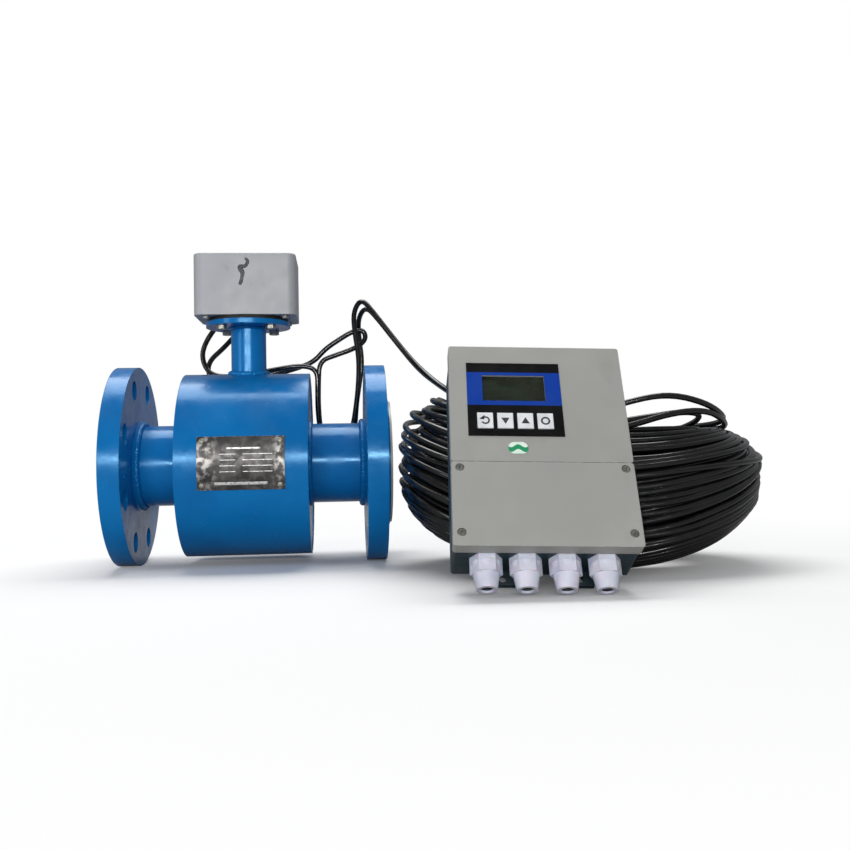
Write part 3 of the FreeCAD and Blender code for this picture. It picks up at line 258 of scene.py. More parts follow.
def wound(label, start, side, seed):
    """The points of all turns of one cable. side is +1 for the outer half of the hank."""
    pace, drift, depth = wander(seed), wander(seed + 1), wander(seed + 2)
    marks, done = [], 0
    for k, (ring, count) in enumerate(LAYERS[label]):
        reach = math.pi * ring + 2 * HANK_FLAT
        first, last = LAYER_ENDS if k % 2 == 0 else LAYER_ENDS[::-1]
        marks += [(done, ring, first * reach),
                  (done + count - STEP_OVER, ring, last * reach)]
        done += count
    points = []
    for i in range(done * PER_TURN):
        turns = i / PER_TURN
        stage = max(k for k in range(len(marks) - 1) if marks[k][0] <= turns)
        (t0, r0, s0), (t1, r1, s1) = marks[stage:stage + 2]
        f = min(1, (turns - t0) / (t1 - t0))
        ring = r0 + (r1 - r0) * ease(f)
        along = s0 + (s1 - s0) * (f if r0 == r1 else ease(f))
        around = start + turns
        settle = ease(turns)
        lap = 2 * math.pi * ring + 4 * HANK_FLAT
        twist = -TWIST * lap * (1 - math.cos(2 * math.pi * (around - TWIST_AT)))
        stray = DRIFT_SLOW * pace(turns + 1) + DRIFT_FAST * drift(3 * turns + 1)
        lift = push = 0
        for turn, where, spread, high, away, shift in STRAYS[label]:
            near = math.exp(-((around - turn - where) / spread) ** 2)
            lift, push, stray = lift + high * near, push + away * near, stray + shift * near
        deep = ring - SINK - SINK_MORE * (1 + depth(turns)) * settle
        outward, upward = section(deep, side * along + (twist + stray) * settle)
        centre, out = racetrack(around)
        place = centre + out * (outward + push)
        hub = Vector((min(max(centre.x, COIL_X), COIL_X + COIL_LONG), COIL_Y, 0))
        if abs(out.x) > 1e-4:
            place = hub + (place - hub) * STAND_OUT
        place.z = HANK_Z + upward
        slope = ROCK - math.sqrt(ROCK ** 2 - (place.x - REST_X) ** 2)
        low = max(0, (HANK_Z + HANK_TALL / 2 - place.z) / HANK_TALL)
        loose = math.exp(-(((around - SWELL_AT + 0.5) % 1 - 0.5) / SWELL_WIDE) ** 2)
        place.z += slope * low ** ROCK_FADE + lift + SWELL * loose * (1 - low)
        place.x = max(place.x, FLANGE_SIDE)
        points.append(place)
    return points


print("coil: turns", {k: sum(count for _, count in v) for k, v in LAYERS.items()})

# %% [markdown]
# Each cable is one curve: its route from the gland, then all its turns. The signal cable
# fills the outer half of the hank and the other cable the inner half. Both stand for the
# plain tubes and the plain coil of the imported model.

# %% Lay the two cables
def lay_cable(name, points):
    """One smooth round curve through a cable's control points."""
    curve = bpy.data.curves.new(name, "CURVE")
    curve.dimensions = "3D"
    spline = curve.splines.new("NURBS")
    spline.points.add(len(points) - 1)
    for p, co in zip(spline.points, points):
        p.co, p.radius = (*co, 1), CABLE / 2
    spline.order_u = 3
    spline.use_endpoint_u = True
    spline.resolution_u = curve.resolution_u = 5
    # each point's radius is in metres, so the bevel's own depth is 1
    curve.bevel_depth, curve.bevel_resolution = 1, 2
    curve.use_fill_caps = True
    obj = bpy.data.objects.new(name, curve)
    bpy.context.scene.collection.objects.link(obj)
    return obj


cords = {}
for label, side, seed, start in (("signal_cable", 1, 11, 0.995),
                                 ("excitation_cable", -1, 29, 1.035)):
    route = [Vector(p) for p in ROUTES[label]]
    points = route + wound(label, start, side, seed)
    cable = lay_cable(label + "_laid", points)
    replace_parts(cable, label, "cable_coil")
    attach(cable, "meter")
    cords[label] = cable


# %% [markdown]
# Every finish is built from the same few layers: a base tone that varies slowly, a fine
# grain in the surface, edges rounded and rubbed by handling, and dust on what faces up.
# A small class wires those layers, so each finish below is one short recipe.

# %% Finishes: the common layers
def tint(r, g, b):
    """A colour given as 8-bit screen values, as the shader wants it."""
    return (*(v / 255 / 12.92 if v < 11 else ((v / 255 + 0.055) / 1.055) ** 2.4
              for v in (r, g, b)), 1)


class Finish:
    """One finish, wired from common layers.
    color, second: the base tones; tone: how fine they vary; rough: lowest and highest
    roughness; grain: how fine and how high; edge: how wide edges are rounded, their worn
    colour and how much of it shows; dust: how much; more: other shader sockets."""

    def __init__(self, name, color, second, rough=(0.3, 0.5), metal=0, tone=9,
                 grain=(700, 0.00002), edge=(0.0005, None, 0.5), dust=0.15, **more):
        self.mat = bpy.data.materials.new(name)
        self.mat.use_nodes = True
        self.shader = self.mat.node_tree.nodes["Principled BSDF"]
        values = {"Base Color": color, "Roughness": rough[0], "Metallic": metal, **more}
        for socket, value in values.items():
            self.shader.inputs[socket].default_value = value
        # rounded edges, and where handling has worn them
        self.spot = self.node("TexCoord").outputs["Object"]
        facing = self.node("NewGeometry").outputs["Normal"]
        soft = self.node("Bevel", Radius=edge[0])
        soft.samples = 4
        self.normal = soft.outputs[0]
        bend = self.node("VectorMath", "DOT_PRODUCT", (self.normal, facing)).outputs["Value"]
        worn = self.times(self.band(bend, 0.99, 0.86), self.band(self.noise(260, 4), 0.42, 0.6))
        self.edge = self.times(worn, edge[2])
        # dust that has settled on what faces up
        up = self.node("VectorMath", "DOT_PRODUCT", (facing, (0, 0, 1))).outputs["Value"]
        settled = self.times(self.band(up, 0.1, 0.95), self.band(self.noise(35, 5), 0.3, 0.75))
        self.dust = self.times(settled, dust)
        # uneven tone and sheen, and the grain's height
        self.color = self.mix(self.band(self.noise(tone, 4), 0.35, 0.65), color, second)
        self.rough = self.band(self.noise(tone * 5, 5), 0.3, 0.7, *rough)
        self.height = self.times(self.noise(grain[0], 3), grain[1])
        self.edge_color = edge[1] or second

    def node(self, kind, operation=None, sockets=(), **named):
        """A shader node with its sockets fed, by number or by name."""
        made = self.mat.node_tree.nodes.new("ShaderNode" + kind)
        if operation:
            made.operation = operation
        for key, value in [*enumerate(sockets), *named.items()]:
            self.feed(made.inputs[key], value)
        return made

    def feed(self, socket, value):
        """Link a socket to another node's output, or set its constant."""
        if isinstance(value, bpy.types.NodeSocket):
            self.mat.node_tree.links.new(value, socket)
        else:
            socket.default_value = value

    def noise(self, scale, detail=3, stretch=None):
        """Soft random spots, drawn out along an axis where stretch says so."""
        spot = self.spot
        if stretch:
            spot = self.node("VectorMath", "MULTIPLY", (spot, stretch)).outputs[0]
        return self.node("TexNoise", Vector=spot, Scale=scale, Detail=detail).outputs[0]

    def band(self, value, low, high, to_low=0, to_high=1):
        """Runs from to_low to to_high as value goes from low to high."""
        made = self.node("MapRange", None, (value, low, high, to_low, to_high))
        made.interpolation_type = "SMOOTHSTEP"
        return made.outputs[0]

    def times(self, a, b):
        return self.node("Math", "MULTIPLY", (a, b)).outputs[0]

    def add(self, a, b):
        return self.node("Math", "ADD", (a, b)).outputs[0]

    def along(self, axis):
        """The distance of the shaded point along an axis, in metres."""
        return self.node("VectorMath", "DOT_PRODUCT", (self.spot, tuple(axis))).outputs["Value"]

    def between(self, value, low, high, blur=0.0002):
        """1 where value lies from low to high."""
        return self.times(self.band(value, low - blur, low + blur),
                          self.band(value, high + blur, high - blur))

    def mix(self, share, a, b):
        """Colour a, with this share of colour b."""
        made = self.node("Mix")
        made.data_type = "RGBA"
        for k, value in ((0, share), (6, a), (7, b)):
            self.feed(made.inputs[k], value)
        return made.outputs[2]

    def stain(self, share, color, rough=None):
        """Lay another colour over the base where share is high."""
        self.color = self.mix(share, self.color, color)
        if rough is not None:
            self.rough = self.band(share, 0, 1, self.rough, rough)
        return self

    def carve(self, value, depth):
        """Raise the surface by depth metres where value is high."""
        self.height = self.add(self.height, self.times(value, depth))
        return self

    def done(self):
        """Add wear and dust, connect the layers and give the material."""
        self.stain(self.edge, self.edge_color).stain(self.dust, tint(176, 172, 164), 0.75)
        self.feed(self.shader.inputs["Base Color"], self.color)
        self.feed(self.shader.inputs["Roughness"], self.rough)
        relief = self.node("Bump", Height=self.height, Distance=1.0, Normal=self.normal)
        self.feed(self.shader.inputs["Normal"], relief.outputs[0])
        return self.mat


print("finish layers ready")

# %% [markdown]
# The display unit leans, so its own directions come from the record: the cable entries
# lie in a row across it and point down it, and the keys press straight into it.

# %% Directions of the display unit
mounts = {m["name"]: m for m in record["mounts"]}
entries = [Vector(mounts["cable_entry_%d" % k]["pos_m"]) for k in (1, 4)]
ACROSS = (entries[1] - entries[0]).normalized()
RISE = -Vector(mounts["cable_entry_1"]["axis"])
INWARD = Vector(frame["joints"][0]["axis"])


def span(node, axis):
    """How far a node reaches along an axis."""
    reach = [v.co.dot(axis) for v in nodes[node].data.vertices]
    return min(reach), max(reach)


def on_case(across, rise, depth):
    """A point from its distances along the display unit's own directions."""
    return ACROSS * across + RISE * rise + INWARD * depth


print("display unit leans", round(math.degrees(RISE.angle(Vector((0, 0, 1)))), 1), "degrees")

# %% [markdown]
# The sensor's steelwork is sprayed with blue gloss enamel. Sprayed gloss has a shallow
# orange-peel ripple, a slightly uneven tone where the coat is thick or thin, and it rubs
# lighter on rims. The junction box and the display unit are die-cast and powder coated,
# which gives a fine hard grain and a satin sheen.

# %% Painted finishes
paint = Finish("blue enamel", tint(8, 110, 178), tint(5, 98, 164), (0.16, 0.28), tone=14,
               grain=(240, 0.00006), edge=(0.0009, tint(60, 150, 200), 0.5), dust=0.06,
               **{"Specular Tint": (0.35, 0.7, 1, 1)})
paint.stain(paint.times(paint.band(paint.noise(520, 2), 0.7, 0.76), 0.5), tint(9, 60, 110), 0.5)
paint.carve(paint.noise(38, 2), 0.00015)
box = Finish("box powder coat", tint(170, 171, 175), tint(160, 162, 167), (0.42, 0.55), tone=12,
             grain=(1500, 0.00004), edge=(0.0008, tint(205, 206, 208), 0.5), dust=0.1)
box.stain(box.times(box.band(box.noise(60, 6), 0.62, 0.72), 0.25), tint(120, 120, 122))
case = Finish("case powder coat", tint(158, 158, 153), tint(150, 150, 146), (0.42, 0.55),
              tone=10, grain=(1600, 0.00004), edge=(0.0008, tint(196, 197, 192), 0.5),
              dust=0.08)
case.stain(case.times(case.band(case.noise(45, 6, (1, 1, 0.35)), 0.6, 0.72), 0.2),
           tint(128, 129, 126))
teal = Finish("base powder coat", tint(26, 50, 59), tint(20, 42, 51), (0.4, 0.55), tone=16,
              grain=(1400, 0.00004), edge=(0.0007, tint(84, 112, 120), 0.5), dust=0.08)
print("painted finishes ready")

# %% [markdown]
# Screws and rivets are zinc plated: bright, a little yellow in places and scratched by
# the driver. The cover's own screws have weathered to a dull grey. Turned stainless, bare
# iron and enamelled wire are for the works inside.

# %% Metal finishes
zinc = Finish("zinc plate", tint(168, 168, 164), tint(142, 138, 124), (0.42, 0.6), metal=0.9,
              tone=120, grain=(900, 0.00002), edge=(0.0004, tint(205, 205, 205), 0.5), dust=0.1)
zinc.carve(zinc.band(zinc.noise(300, 2, (1, 1, 14)), 0.55, 0.62), -0.00002)
dull = Finish("passivated screw", tint(128, 128, 122), tint(104, 104, 100), (0.4, 0.6),
              metal=0.8, tone=120, grain=(900, 0.00002),
              edge=(0.0004, tint(170, 170, 166), 0.5))
steel = Finish("turned stainless", tint(190, 190, 194), tint(170, 172, 178), (0.2, 0.35),
               metal=1, grain=(500, 0.00001), dust=0.05)
steel.carve(steel.noise(60, 2, (60, 1, 1)), 0.00002)
iron = Finish("bare iron", tint(92, 88, 86), tint(70, 60, 54), (0.5, 0.7), metal=1, tone=40,
              grain=(600, 0.00008), dust=0.1)
iron.stain(iron.band(iron.noise(90, 5), 0.6, 0.7), tint(96, 56, 34), 0.85)
copper = Finish("enamelled wire", tint(176, 92, 50), tint(150, 70, 36), (0.25, 0.4), metal=1,
                grain=(500, 0.00001), dust=0)
copper.carve(copper.node("TexWave", Vector=copper.spot, Scale=320).outputs[1], 0.0003)
print("plain metal finishes ready")

# %% [markdown]
# The nameplate is an etched sheet: blank bright fields stand in a dark etched ground
# that turns paler towards its ends. It carries no words. The fields are
# worked out as shares of the plate, so they stay on it.

# %% The etched nameplate
plate_low, plate_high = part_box("nameplate")
etched = Finish("etched plate", tint(74, 72, 71), tint(42, 41, 41), (0.35, 0.5), metal=0.6,
                tone=60, grain=(900, 0.00002), edge=(0.0003, tint(220, 220, 220), 0.6),
                dust=0.05)
across, rise = etched.along((1, 0, 0)), etched.along((0, 0, 1))


def rule(level, start, stop, half=0.00025):
    """A thin bright line across the plate, its place and ends as shares of the plate."""
    z = plate_low.z + level * (plate_high.z - plate_low.z)
    x0, x1 = (plate_low.x + share * (plate_high.x - plate_low.x) for share in (start, stop))
    return etched.times(etched.between(rise, z - half, z + half),
                        etched.between(across, x0, x1))


bright = rule(0.12, 0.20, 0.80, 0.0011)
for level in (0.34, 0.45, 0.56, 0.67):
    bright = etched.add(bright, etched.add(rule(level, 0.26, 0.44), rule(level, 0.52, 0.86)))
bright = etched.add(bright, rule(0.78, 0.34, 0.72, 0.0007))
bright = etched.times(bright, etched.band(etched.noise(400, 4), 0.3, 0.55, 0.35, 1))
# the etched ground turns paler towards both ends of the plate
ends = etched.add(etched.band(across, plate_low.x + 0.022, plate_low.x + 0.004),
                  etched.band(across, plate_high.x - 0.014, plate_high.x - 0.003))
paler_at_ends = etched.times(etched.band(etched.noise(170, 6), 0.44, 0.62),
                      etched.band(ends, 0, 1, 0.12, 0.9))
etched.stain(paler_at_ends, tint(160, 156, 152), 0.4).stain(bright, tint(208, 208, 208), 0.35)
etched.carve(bright, 0.00006)
print("nameplate etched with blank fields")

# %% [markdown]
# Plastic and rubber: the glands are white nylon, which lets a little light in; the keys
# are white; gaskets are matt black rubber; the cable sheath is black vinyl with a soft
# shine; the liner is moulded, with faint rings along the bore. Dried ink is a worn black.

# %% Plastic and rubber finishes
nylon = Finish("white nylon", tint(214, 214, 228), tint(198, 199, 216), (0.28, 0.42), tone=60,
               grain=(500, 0.00003), edge=(0.0007, tint(236, 236, 244), 0.4), dust=0.12,
               **{"Subsurface Weight": 0.3, "Subsurface Scale": 0.004})
nylon.stain(nylon.times(nylon.band(nylon.noise(90, 5), 0.6, 0.7), 0.3), tint(160, 160, 172))
key = Finish("key caps", tint(226, 228, 230), tint(212, 214, 218), (0.3, 0.42), tone=90,
             grain=(800, 0.00002), edge=(0.0006, tint(190, 192, 196), 0.5), dust=0.05)
key.stain(key.times(key.band(key.noise(300, 5), 0.58, 0.7), 0.2), tint(150, 150, 150))
black = Finish("black plastic", tint(26, 26, 28), tint(36, 36, 38), (0.4, 0.55),
               grain=(900, 0.00003), edge=(0.0005, tint(80, 80, 82), 0.4), dust=0.2)
ink = Finish("dried ink", tint(58, 59, 64), tint(88, 89, 94), (0.5, 0.7), tone=420,
             grain=(900, 0.00002), dust=0)
rubber = Finish("black rubber", tint(20, 20, 20), tint(34, 33, 32), (0.6, 0.8),
                grain=(600, 0.00006), edge=(0.0004, tint(60, 60, 60), 0.3), dust=0.3)
sheath = Finish("cable sheath", tint(8, 8, 9), tint(14, 14, 15), (0.13, 0.27), tone=30,
                grain=(350, 0.00004), edge=(0.0003, tint(40, 40, 40), 0.1), dust=0.05,
                **{"Specular IOR Level": 0.55})
lining = Finish("moulded liner", tint(226, 226, 220), tint(212, 211, 203), (0.3, 0.45),
                grain=(500, 0.00003), edge=(0.0006, tint(240, 240, 236), 0.3), dust=0.1,
                **{"Subsurface Weight": 0.2, "Subsurface Scale": 0.003})
lining.carve(lining.noise(40, 2, (30, 1, 1)), 0.00003)
print("plastic and rubber finishes ready")

# %% [markdown]
# The membrane overlay is printed black with a blue panel round the window. Behind the
# clear window lies a dark grey-green display that is switched off. The green oval is
# printed with one plain wave, and the circuit boards have faint tracks under green mask.

# %% Printed and clear finishes
PANEL_FROM, PANEL_TO = 0.0256, 0.0538
overlay = Finish("membrane overlay", tint(8, 8, 10), tint(13, 14, 16), (0.3, 0.42), tone=30,
                 grain=(1200, 0.00002), edge=(0.0002, tint(60, 60, 64), 0.4), dust=0.03,
                 **{"Specular IOR Level": 0.12})
foot = span("display_overlay", RISE)[0]
blue = overlay.between(overlay.along(RISE), foot + PANEL_FROM, foot + PANEL_TO)
overlay.stain(blue, tint(14, 58, 150))
board = Finish("circuit board", tint(24, 84, 48), tint(18, 70, 40), (0.3, 0.45),
               grain=(900, 0.00002), dust=0.05)
tracks = board.band(board.node("TexBrick", Vector=board.spot, Scale=90).outputs[1], 0.4, 0.6)
board.stain(board.times(tracks, 0.6), tint(40, 120, 70)).carve(tracks, 0.00003)
lcd = Finish("display glass", tint(44, 50, 37), tint(38, 44, 33), (0.2, 0.3), tone=25,
             grain=(1500, 0.000004), dust=0, **{"Specular IOR Level": 0.15})
window = Finish("window", tint(240, 244, 238), tint(232, 238, 230), (0.02, 0.05), tone=40,
                grain=(400, 0.000004), edge=(0.0003, tint(240, 240, 240), 0.3), dust=0.02,
                **{"Transmission Weight": 1.0, "IOR": 1.25})
window.carve(window.band(window.noise(900, 2, (1, 9, 1)), 0.64, 0.67), -0.000006)
oval = Finish("printed oval", tint(222, 238, 226), tint(206, 230, 214), (0.3, 0.4), tone=90,
              grain=(1200, 0.00001), dust=0.05)
WAVE_PITCH, WAVE_HIGH, WAVE_FROM, WAVE_TO = 640, 0.0012, -0.0022, 0.0016
middle = sum(span("oval_label", RISE)) / 2
sine = oval.node("Math", "SINE", (oval.times(oval.along(ACROSS), WAVE_PITCH),)).outputs[0]
wave = oval.add(oval.along(RISE), oval.times(sine, WAVE_HIGH))
oval.stain(oval.between(wave, middle + WAVE_FROM, middle + WAVE_TO), tint(24, 142, 92))
print("printed and clear finishes ready")

# %% [markdown]
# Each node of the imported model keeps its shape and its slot. Only the finish that the
# slot holds is swapped for the one made above.

# %% Put the finishes on the model
FINISHES = {
    "blue_paint": paint, "stainless": steel, "liner_white": lining, "box_grey": box,
    "zinc_screw": zinc, "soft_iron": iron, "winding": copper, "black_rubber": rubber,
    "plate_metal": etched, "black_plastic": black, "case_grey": case, "case_teal": teal,
    "window": window, "lcd_dark": lcd, "key_white": key, "board_green": board,
    "gland_white": nylon, "label_green": oval, "cable_black": sheath}
MATERIALS = {slot: made.done() for slot, made in FINISHES.items()}
MATERIALS.update(overlay=overlay.done(), dull=dull.done(), ink=ink.done())
for part in record["subparts"]:
    node = nodes[part["node"]]
    name = "overlay" if part["node"] == "display_overlay" else part["material_slot"]
    for holder in node.material_slots:
        holder.material = MATERIALS[name]
for cable in cords.values():
    cable.data.materials.append(MATERIALS["cable_black"])
print(len(MATERIALS), "finishes on", len(nodes), "nodes")

# %% [markdown]
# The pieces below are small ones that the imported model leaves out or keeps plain. Each
# is a mesh of its own that rides on the body it is fixed to. A turned piece is a profile
# swept round an axis; its own directions come from the axis it stands on.

# %% Tools for small pieces
def add_piece(name, verts, faces, slot, body="meter", smooth=True, look=None):
    """A mesh piece in a slot's finish, or in another named look."""
    mesh = bpy.data.meshes.new(name)
    mesh.from_pydata([tuple(v) for v in verts], [], faces)
    for face in mesh.polygons:
        face.use_smooth = smooth
    mesh.materials.append(MATERIALS[look or slot])
    obj = bpy.data.objects.new(name, mesh)
    bpy.context.scene.collection.objects.link(obj)
    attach(obj, body)
    return obj


def frame_on(axis):
    """Two directions square to an axis and to each other."""
    axis = Vector(axis).normalized()
    helper = Vector((0, 0, 1)) if abs(axis.z) < 0.9 else Vector((1, 0, 0))
    side = axis.cross(helper).normalized()
    return axis, side, axis.cross(side)


def turned(at, axis, profile, steps=48, relief=None):
    """Vertices and faces of a profile (radius, height) turned round an axis at a point.
    relief(radius, angle, height) may move a height, to press a slot into a face."""
    axis, side, other = frame_on(axis)
    verts, faces = [], []
    for r, h in profile:
        for k in range(steps):
            a = 2 * math.pi * k / steps
            z = relief(r, a, h) if relief else h
            verts.append(Vector(at) + axis * z + (side * math.cos(a) + other * math.sin(a)) * r)
    for i in range(len(profile) - 1):
        for k in range(steps):
            n, here, above = (k + 1) % steps, i * steps, (i + 1) * steps
            faces.append((here + k, here + n, above + n, above + k))
    faces.append(tuple(reversed(range(steps))))
    faces.append(tuple(range((len(profile) - 1) * steps, len(profile) * steps)))
    return verts, faces


def gather(parts):
    """Several (vertices, faces) pairs as one."""
    verts, faces = [], []
    for v, f in parts:
        faces += [tuple(i + len(verts) for i in face) for face in f]
        verts += v
    return verts, faces


print("tools ready")

# %% [markdown]
# The steelwork is welded before it is painted: the pipe to its flanges and to the
# housing's end plates, the neck to the housing and to the plate that carries the box. A
# hand-laid bead is a row of overlapping ripples, so each bead is a ring swept round the
# joint whose thickness swells and sinks with every ripple, under the same blue enamel.

# %% Weld beads
SIDES, ROUND_NECK = 10, 260
# the flange welds' distance from the sensor's middle
FLANGE_WELD = 0.0992
# how far a bead's own middle stands out of its corner at the flanges, the plates, the rims
# and the neck plate, and how far the rims lie inside the housing's surface
AT_FLANGE, AT_PLATE, AT_RIM, AT_NECK, RIM_IN = 0.0009, 0.0006, 0.0001, 0.0004, 0.0031


def bead(name, line, radius, ripple=0.0026, seed=1):
    """A rippled tube round a closed line of points."""
    rng = random.Random(seed)
    count = len(line)
    verts, faces, travelled = [], [], 0
    wobble = [rng.uniform(-0.08, 0.08) for _ in range(count)]
    for k, p in enumerate(line):
        ahead = (line[(k + 1) % count] - line[k - 1]).normalized()
        travelled += (p - line[k - 1]).length if k else 0
        swell = 1 + 0.16 * abs(math.sin(math.pi * travelled / ripple)) + wobble[k]
        _, side, other = frame_on(ahead)
        for j in range(SIDES):
            a = 2 * math.pi * j / SIDES
            verts.append(p + (side * math.cos(a) + other * math.sin(a)) * radius * swell)
    for k in range(count):
        n = (k + 1) % count
        for j in range(SIDES):
            m = (j + 1) % SIDES
            faces.append((k * SIDES + j, n * SIDES + j, n * SIDES + m, k * SIDES + m))
    add_piece(name, verts, faces, "blue_paint")


def circle(x, radius, count=420):
    """A circle round the pipe's middle line."""
    return [Vector((x, radius * math.cos(a), radius * math.sin(a)))
            for a in (2 * math.pi * k / count for k in range(count))]


pipe_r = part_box("measuring_tube")[1].z
shell_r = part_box("housing_shell")[1].y
plate_in, plate_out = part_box("housing_plate_inlet")[0].x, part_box("housing_plate_outlet")[1].x
bead("weld_inlet_flange", circle(-FLANGE_WELD, pipe_r + AT_FLANGE), 0.0026)
bead("weld_outlet_flange", circle(FLANGE_WELD, pipe_r + AT_FLANGE), 0.0026, seed=2)
bead("weld_inlet_end_plate", circle(plate_in - AT_PLATE, pipe_r + AT_PLATE), 0.0022, seed=3)
bead("weld_outlet_end_plate", circle(plate_out + AT_PLATE, pipe_r + AT_PLATE), 0.0022, seed=4)
bead("weld_inlet_rim", circle(plate_in - AT_RIM, shell_r - RIM_IN), 0.0010, 0.002, 5)
bead("weld_outlet_rim", circle(plate_out + AT_RIM, shell_r - RIM_IN), 0.0010, 0.002, 6)
neck_low, neck_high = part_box("neck_tube")
neck_x, neck_r = (neck_low.x + neck_high.x) / 2, (neck_high.x - neck_low.x) / 2
turn_round = [2 * math.pi * k / ROUND_NECK for k in range(ROUND_NECK)]
foot_r, collar_r = neck_r + AT_PLATE, neck_r + AT_NECK
saddle = [Vector((neck_x + foot_r * math.cos(a), foot_r * math.sin(a),
                  math.sqrt(shell_r ** 2 - (neck_r * math.sin(a)) ** 2) + AT_PLATE))
          for a in turn_round]
bead("weld_neck_foot", saddle, 0.0024, seed=7)
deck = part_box("neck_plate")[0].z
collar = [Vector((neck_x + collar_r * math.cos(a), collar_r * math.sin(a), deck - AT_NECK))
          for a in turn_round]
bead("weld_neck_plate", collar, 0.0017, seed=8)
print("eight weld beads laid")

# %% [markdown]
# The terminal cover is held by four pan-head screws sunk in its corners. The cross in
# the head is pressed in: the turned head's top face dips where the two arms of the cross
# run.

# %% Cross-head screws of the terminal cover
HEAD_R, HEAD_H, SHANK_R = 0.0028, 0.0020, 0.0015
ARM_REACH, ARM_HALF, ARM_DEEP = 0.0017, 0.0004, 0.0009
# the angle at which the screws stopped
CROSS_TURN = 0.5


def cross(reach, width, depth):
    """The dip of a cross recess at a radius and an angle."""
    def dip(r, a, h):
        if h < 0:
            return h
        x, y = abs(r * math.cos(a + CROSS_TURN)), abs(r * math.sin(a + CROSS_TURN))
        inside = ease((reach - max(x, y)) / 0.0003) * ease((width - min(x, y)) / 0.0002)
        return h - depth * inside
    return dip


u0, u1 = span("cover_screws", ACROSS)
v0, v1 = span("cover_screws", RISE)
d0, d1 = span("cover_screws", INWARD)
tip = HEAD_H - (d1 - d0)
head = ([(SHANK_R - 0.0003, tip), (SHANK_R, tip + 0.0004), (SHANK_R, 0),
         (HEAD_R - 0.0002, 0), (HEAD_R, 0.0003), (HEAD_R, HEAD_H - 0.0006)] +
        [(HEAD_R * k / 28, HEAD_H - 0.0002 * (k / 26) ** 2) for k in range(27, 0, -1)])
recess = cross(ARM_REACH, ARM_HALF, ARM_DEEP)
screws = [turned(on_case(u, v, d0 + HEAD_H), -INWARD, head, 64, recess)
          for u in (u0 + HEAD_R, u1 - HEAD_R) for v in (v0 + HEAD_R, v1 - HEAD_R)]
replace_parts(add_piece("cross_head_cover_screws", *gather(screws), "zinc_screw", look="dull"),
            "cover_screws")
print("four screws set")

# %% [markdown]
# The nameplate sits on four drive rivets with domed heads. The plate follows the round
# housing, so each rivet leans with the surface under it.

# %% Rivets of the nameplate
RIVET_R, RIVET_H, RIVET_SHANK, RIVET_DEEP = 0.0025, 0.0010, 0.0015, 0.0040
# a rivet's middle lies this far inside the plate's edge, and its seat over the housing
RIVET_INSET, RIVET_SEAT = 0.004, 0.00095
dome = [(RIVET_SHANK - 0.0001, -RIVET_DEEP), (RIVET_SHANK, 0.0002 - RIVET_DEEP),
        (RIVET_SHANK, 0), (RIVET_R, 0)]
dome += [(RIVET_R * math.cos(a), RIVET_H * math.sin(a))
         for a in (k * math.pi / 18 for k in range(1, 9))]
rivet_low, rivet_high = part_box("nameplate_rivets")
level_mid, level_half = (plate_low.z + plate_high.z) / 2, (plate_high.z - plate_low.z) / 2
rivets = []
for x in (rivet_low.x + RIVET_R, rivet_high.x - RIVET_R):
    for side in (-1, 1):
        tilt = math.asin((level_mid + side * (level_half - RIVET_INSET)) / shell_r)
        out = Vector((0, -math.cos(tilt), math.sin(tilt)))
        rivets.append(turned(Vector((x, 0, 0)) + out * (shell_r + RIVET_SEAT), out, dome, 32))
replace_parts(add_piece("domed_rivets", *gather(rivets), "zinc_screw"), "nameplate_rivets")
print("four rivets set")

# %% [markdown]
# Each key carries a printed sign: a turning arrow, a triangle down, a triangle up and a
# ring. Thick ink stands a hair above the key, so each sign is a thin flat piece that
# rides on its own key and sinks with it.

# %% Signs on the keys
SIGN_HALF = 0.00006


def flat_sign(name, label, shapes):
    """Thin flat shapes, drawn in millimetres round the middle of a key's face."""
    u, v = (sum(span(label, axis)) / 2 for axis in (ACROSS, RISE))
    face = span(label, INWARD)[0]
    verts, faces = [], []
    for shape in shapes:
        n, base = len(shape), len(verts)
        for depth in (face - SIGN_HALF, face + SIGN_HALF):
            verts += [on_case(u + x / 1000, v + y / 1000, depth) for x, y in shape]
        faces.append(tuple(range(base + n - 1, base - 1, -1)))
        faces.append(tuple(range(base + n, base + 2 * n)))
        faces += [(base + i, base + (i + 1) % n, base + n + (i + 1) % n, base + n + i)
                  for i in range(n)]
    add_piece(name, verts, faces, "black_plastic", label + "_pad", smooth=False)


def arc_band(inner, outer, start, stop, steps=28):
    """A part of a ring, as four-cornered pieces."""
    marks = [math.radians(start + (stop - start) * k / steps) for k in range(steps + 1)]
    return [[(r * math.cos(t), r * math.sin(t))
             for r, t in ((inner, a), (outer, a), (outer, b), (inner, b))]
            for a, b in zip(marks, marks[1:])]


flat_sign("sign_turning_arrow", "key_cycle",
          arc_band(2.0, 3.2, -150, 120) + [[(-4.3, 1.1), (-0.3, 4.4), (-0.8, 0.5)]])
flat_sign("sign_down", "key_down", [[(-2.9, 2.2), (2.9, 2.2), (0, -2.9)]])
flat_sign("sign_up", "key_up", [[(-2.9, -2.3), (2.9, -2.3), (0, 2.9)]])
flat_sign("sign_ring", "key_enter", arc_band(2.0, 3.3, 0, 360, 40))
print("four signs printed")

# %% [markdown]
# The junction box carries a short smeared pen mark on its front, such as a fitter leaves
# when a joint has been checked. It is one thick line of ink whose width changes with the
# pressure of the pen, flattened against the box.

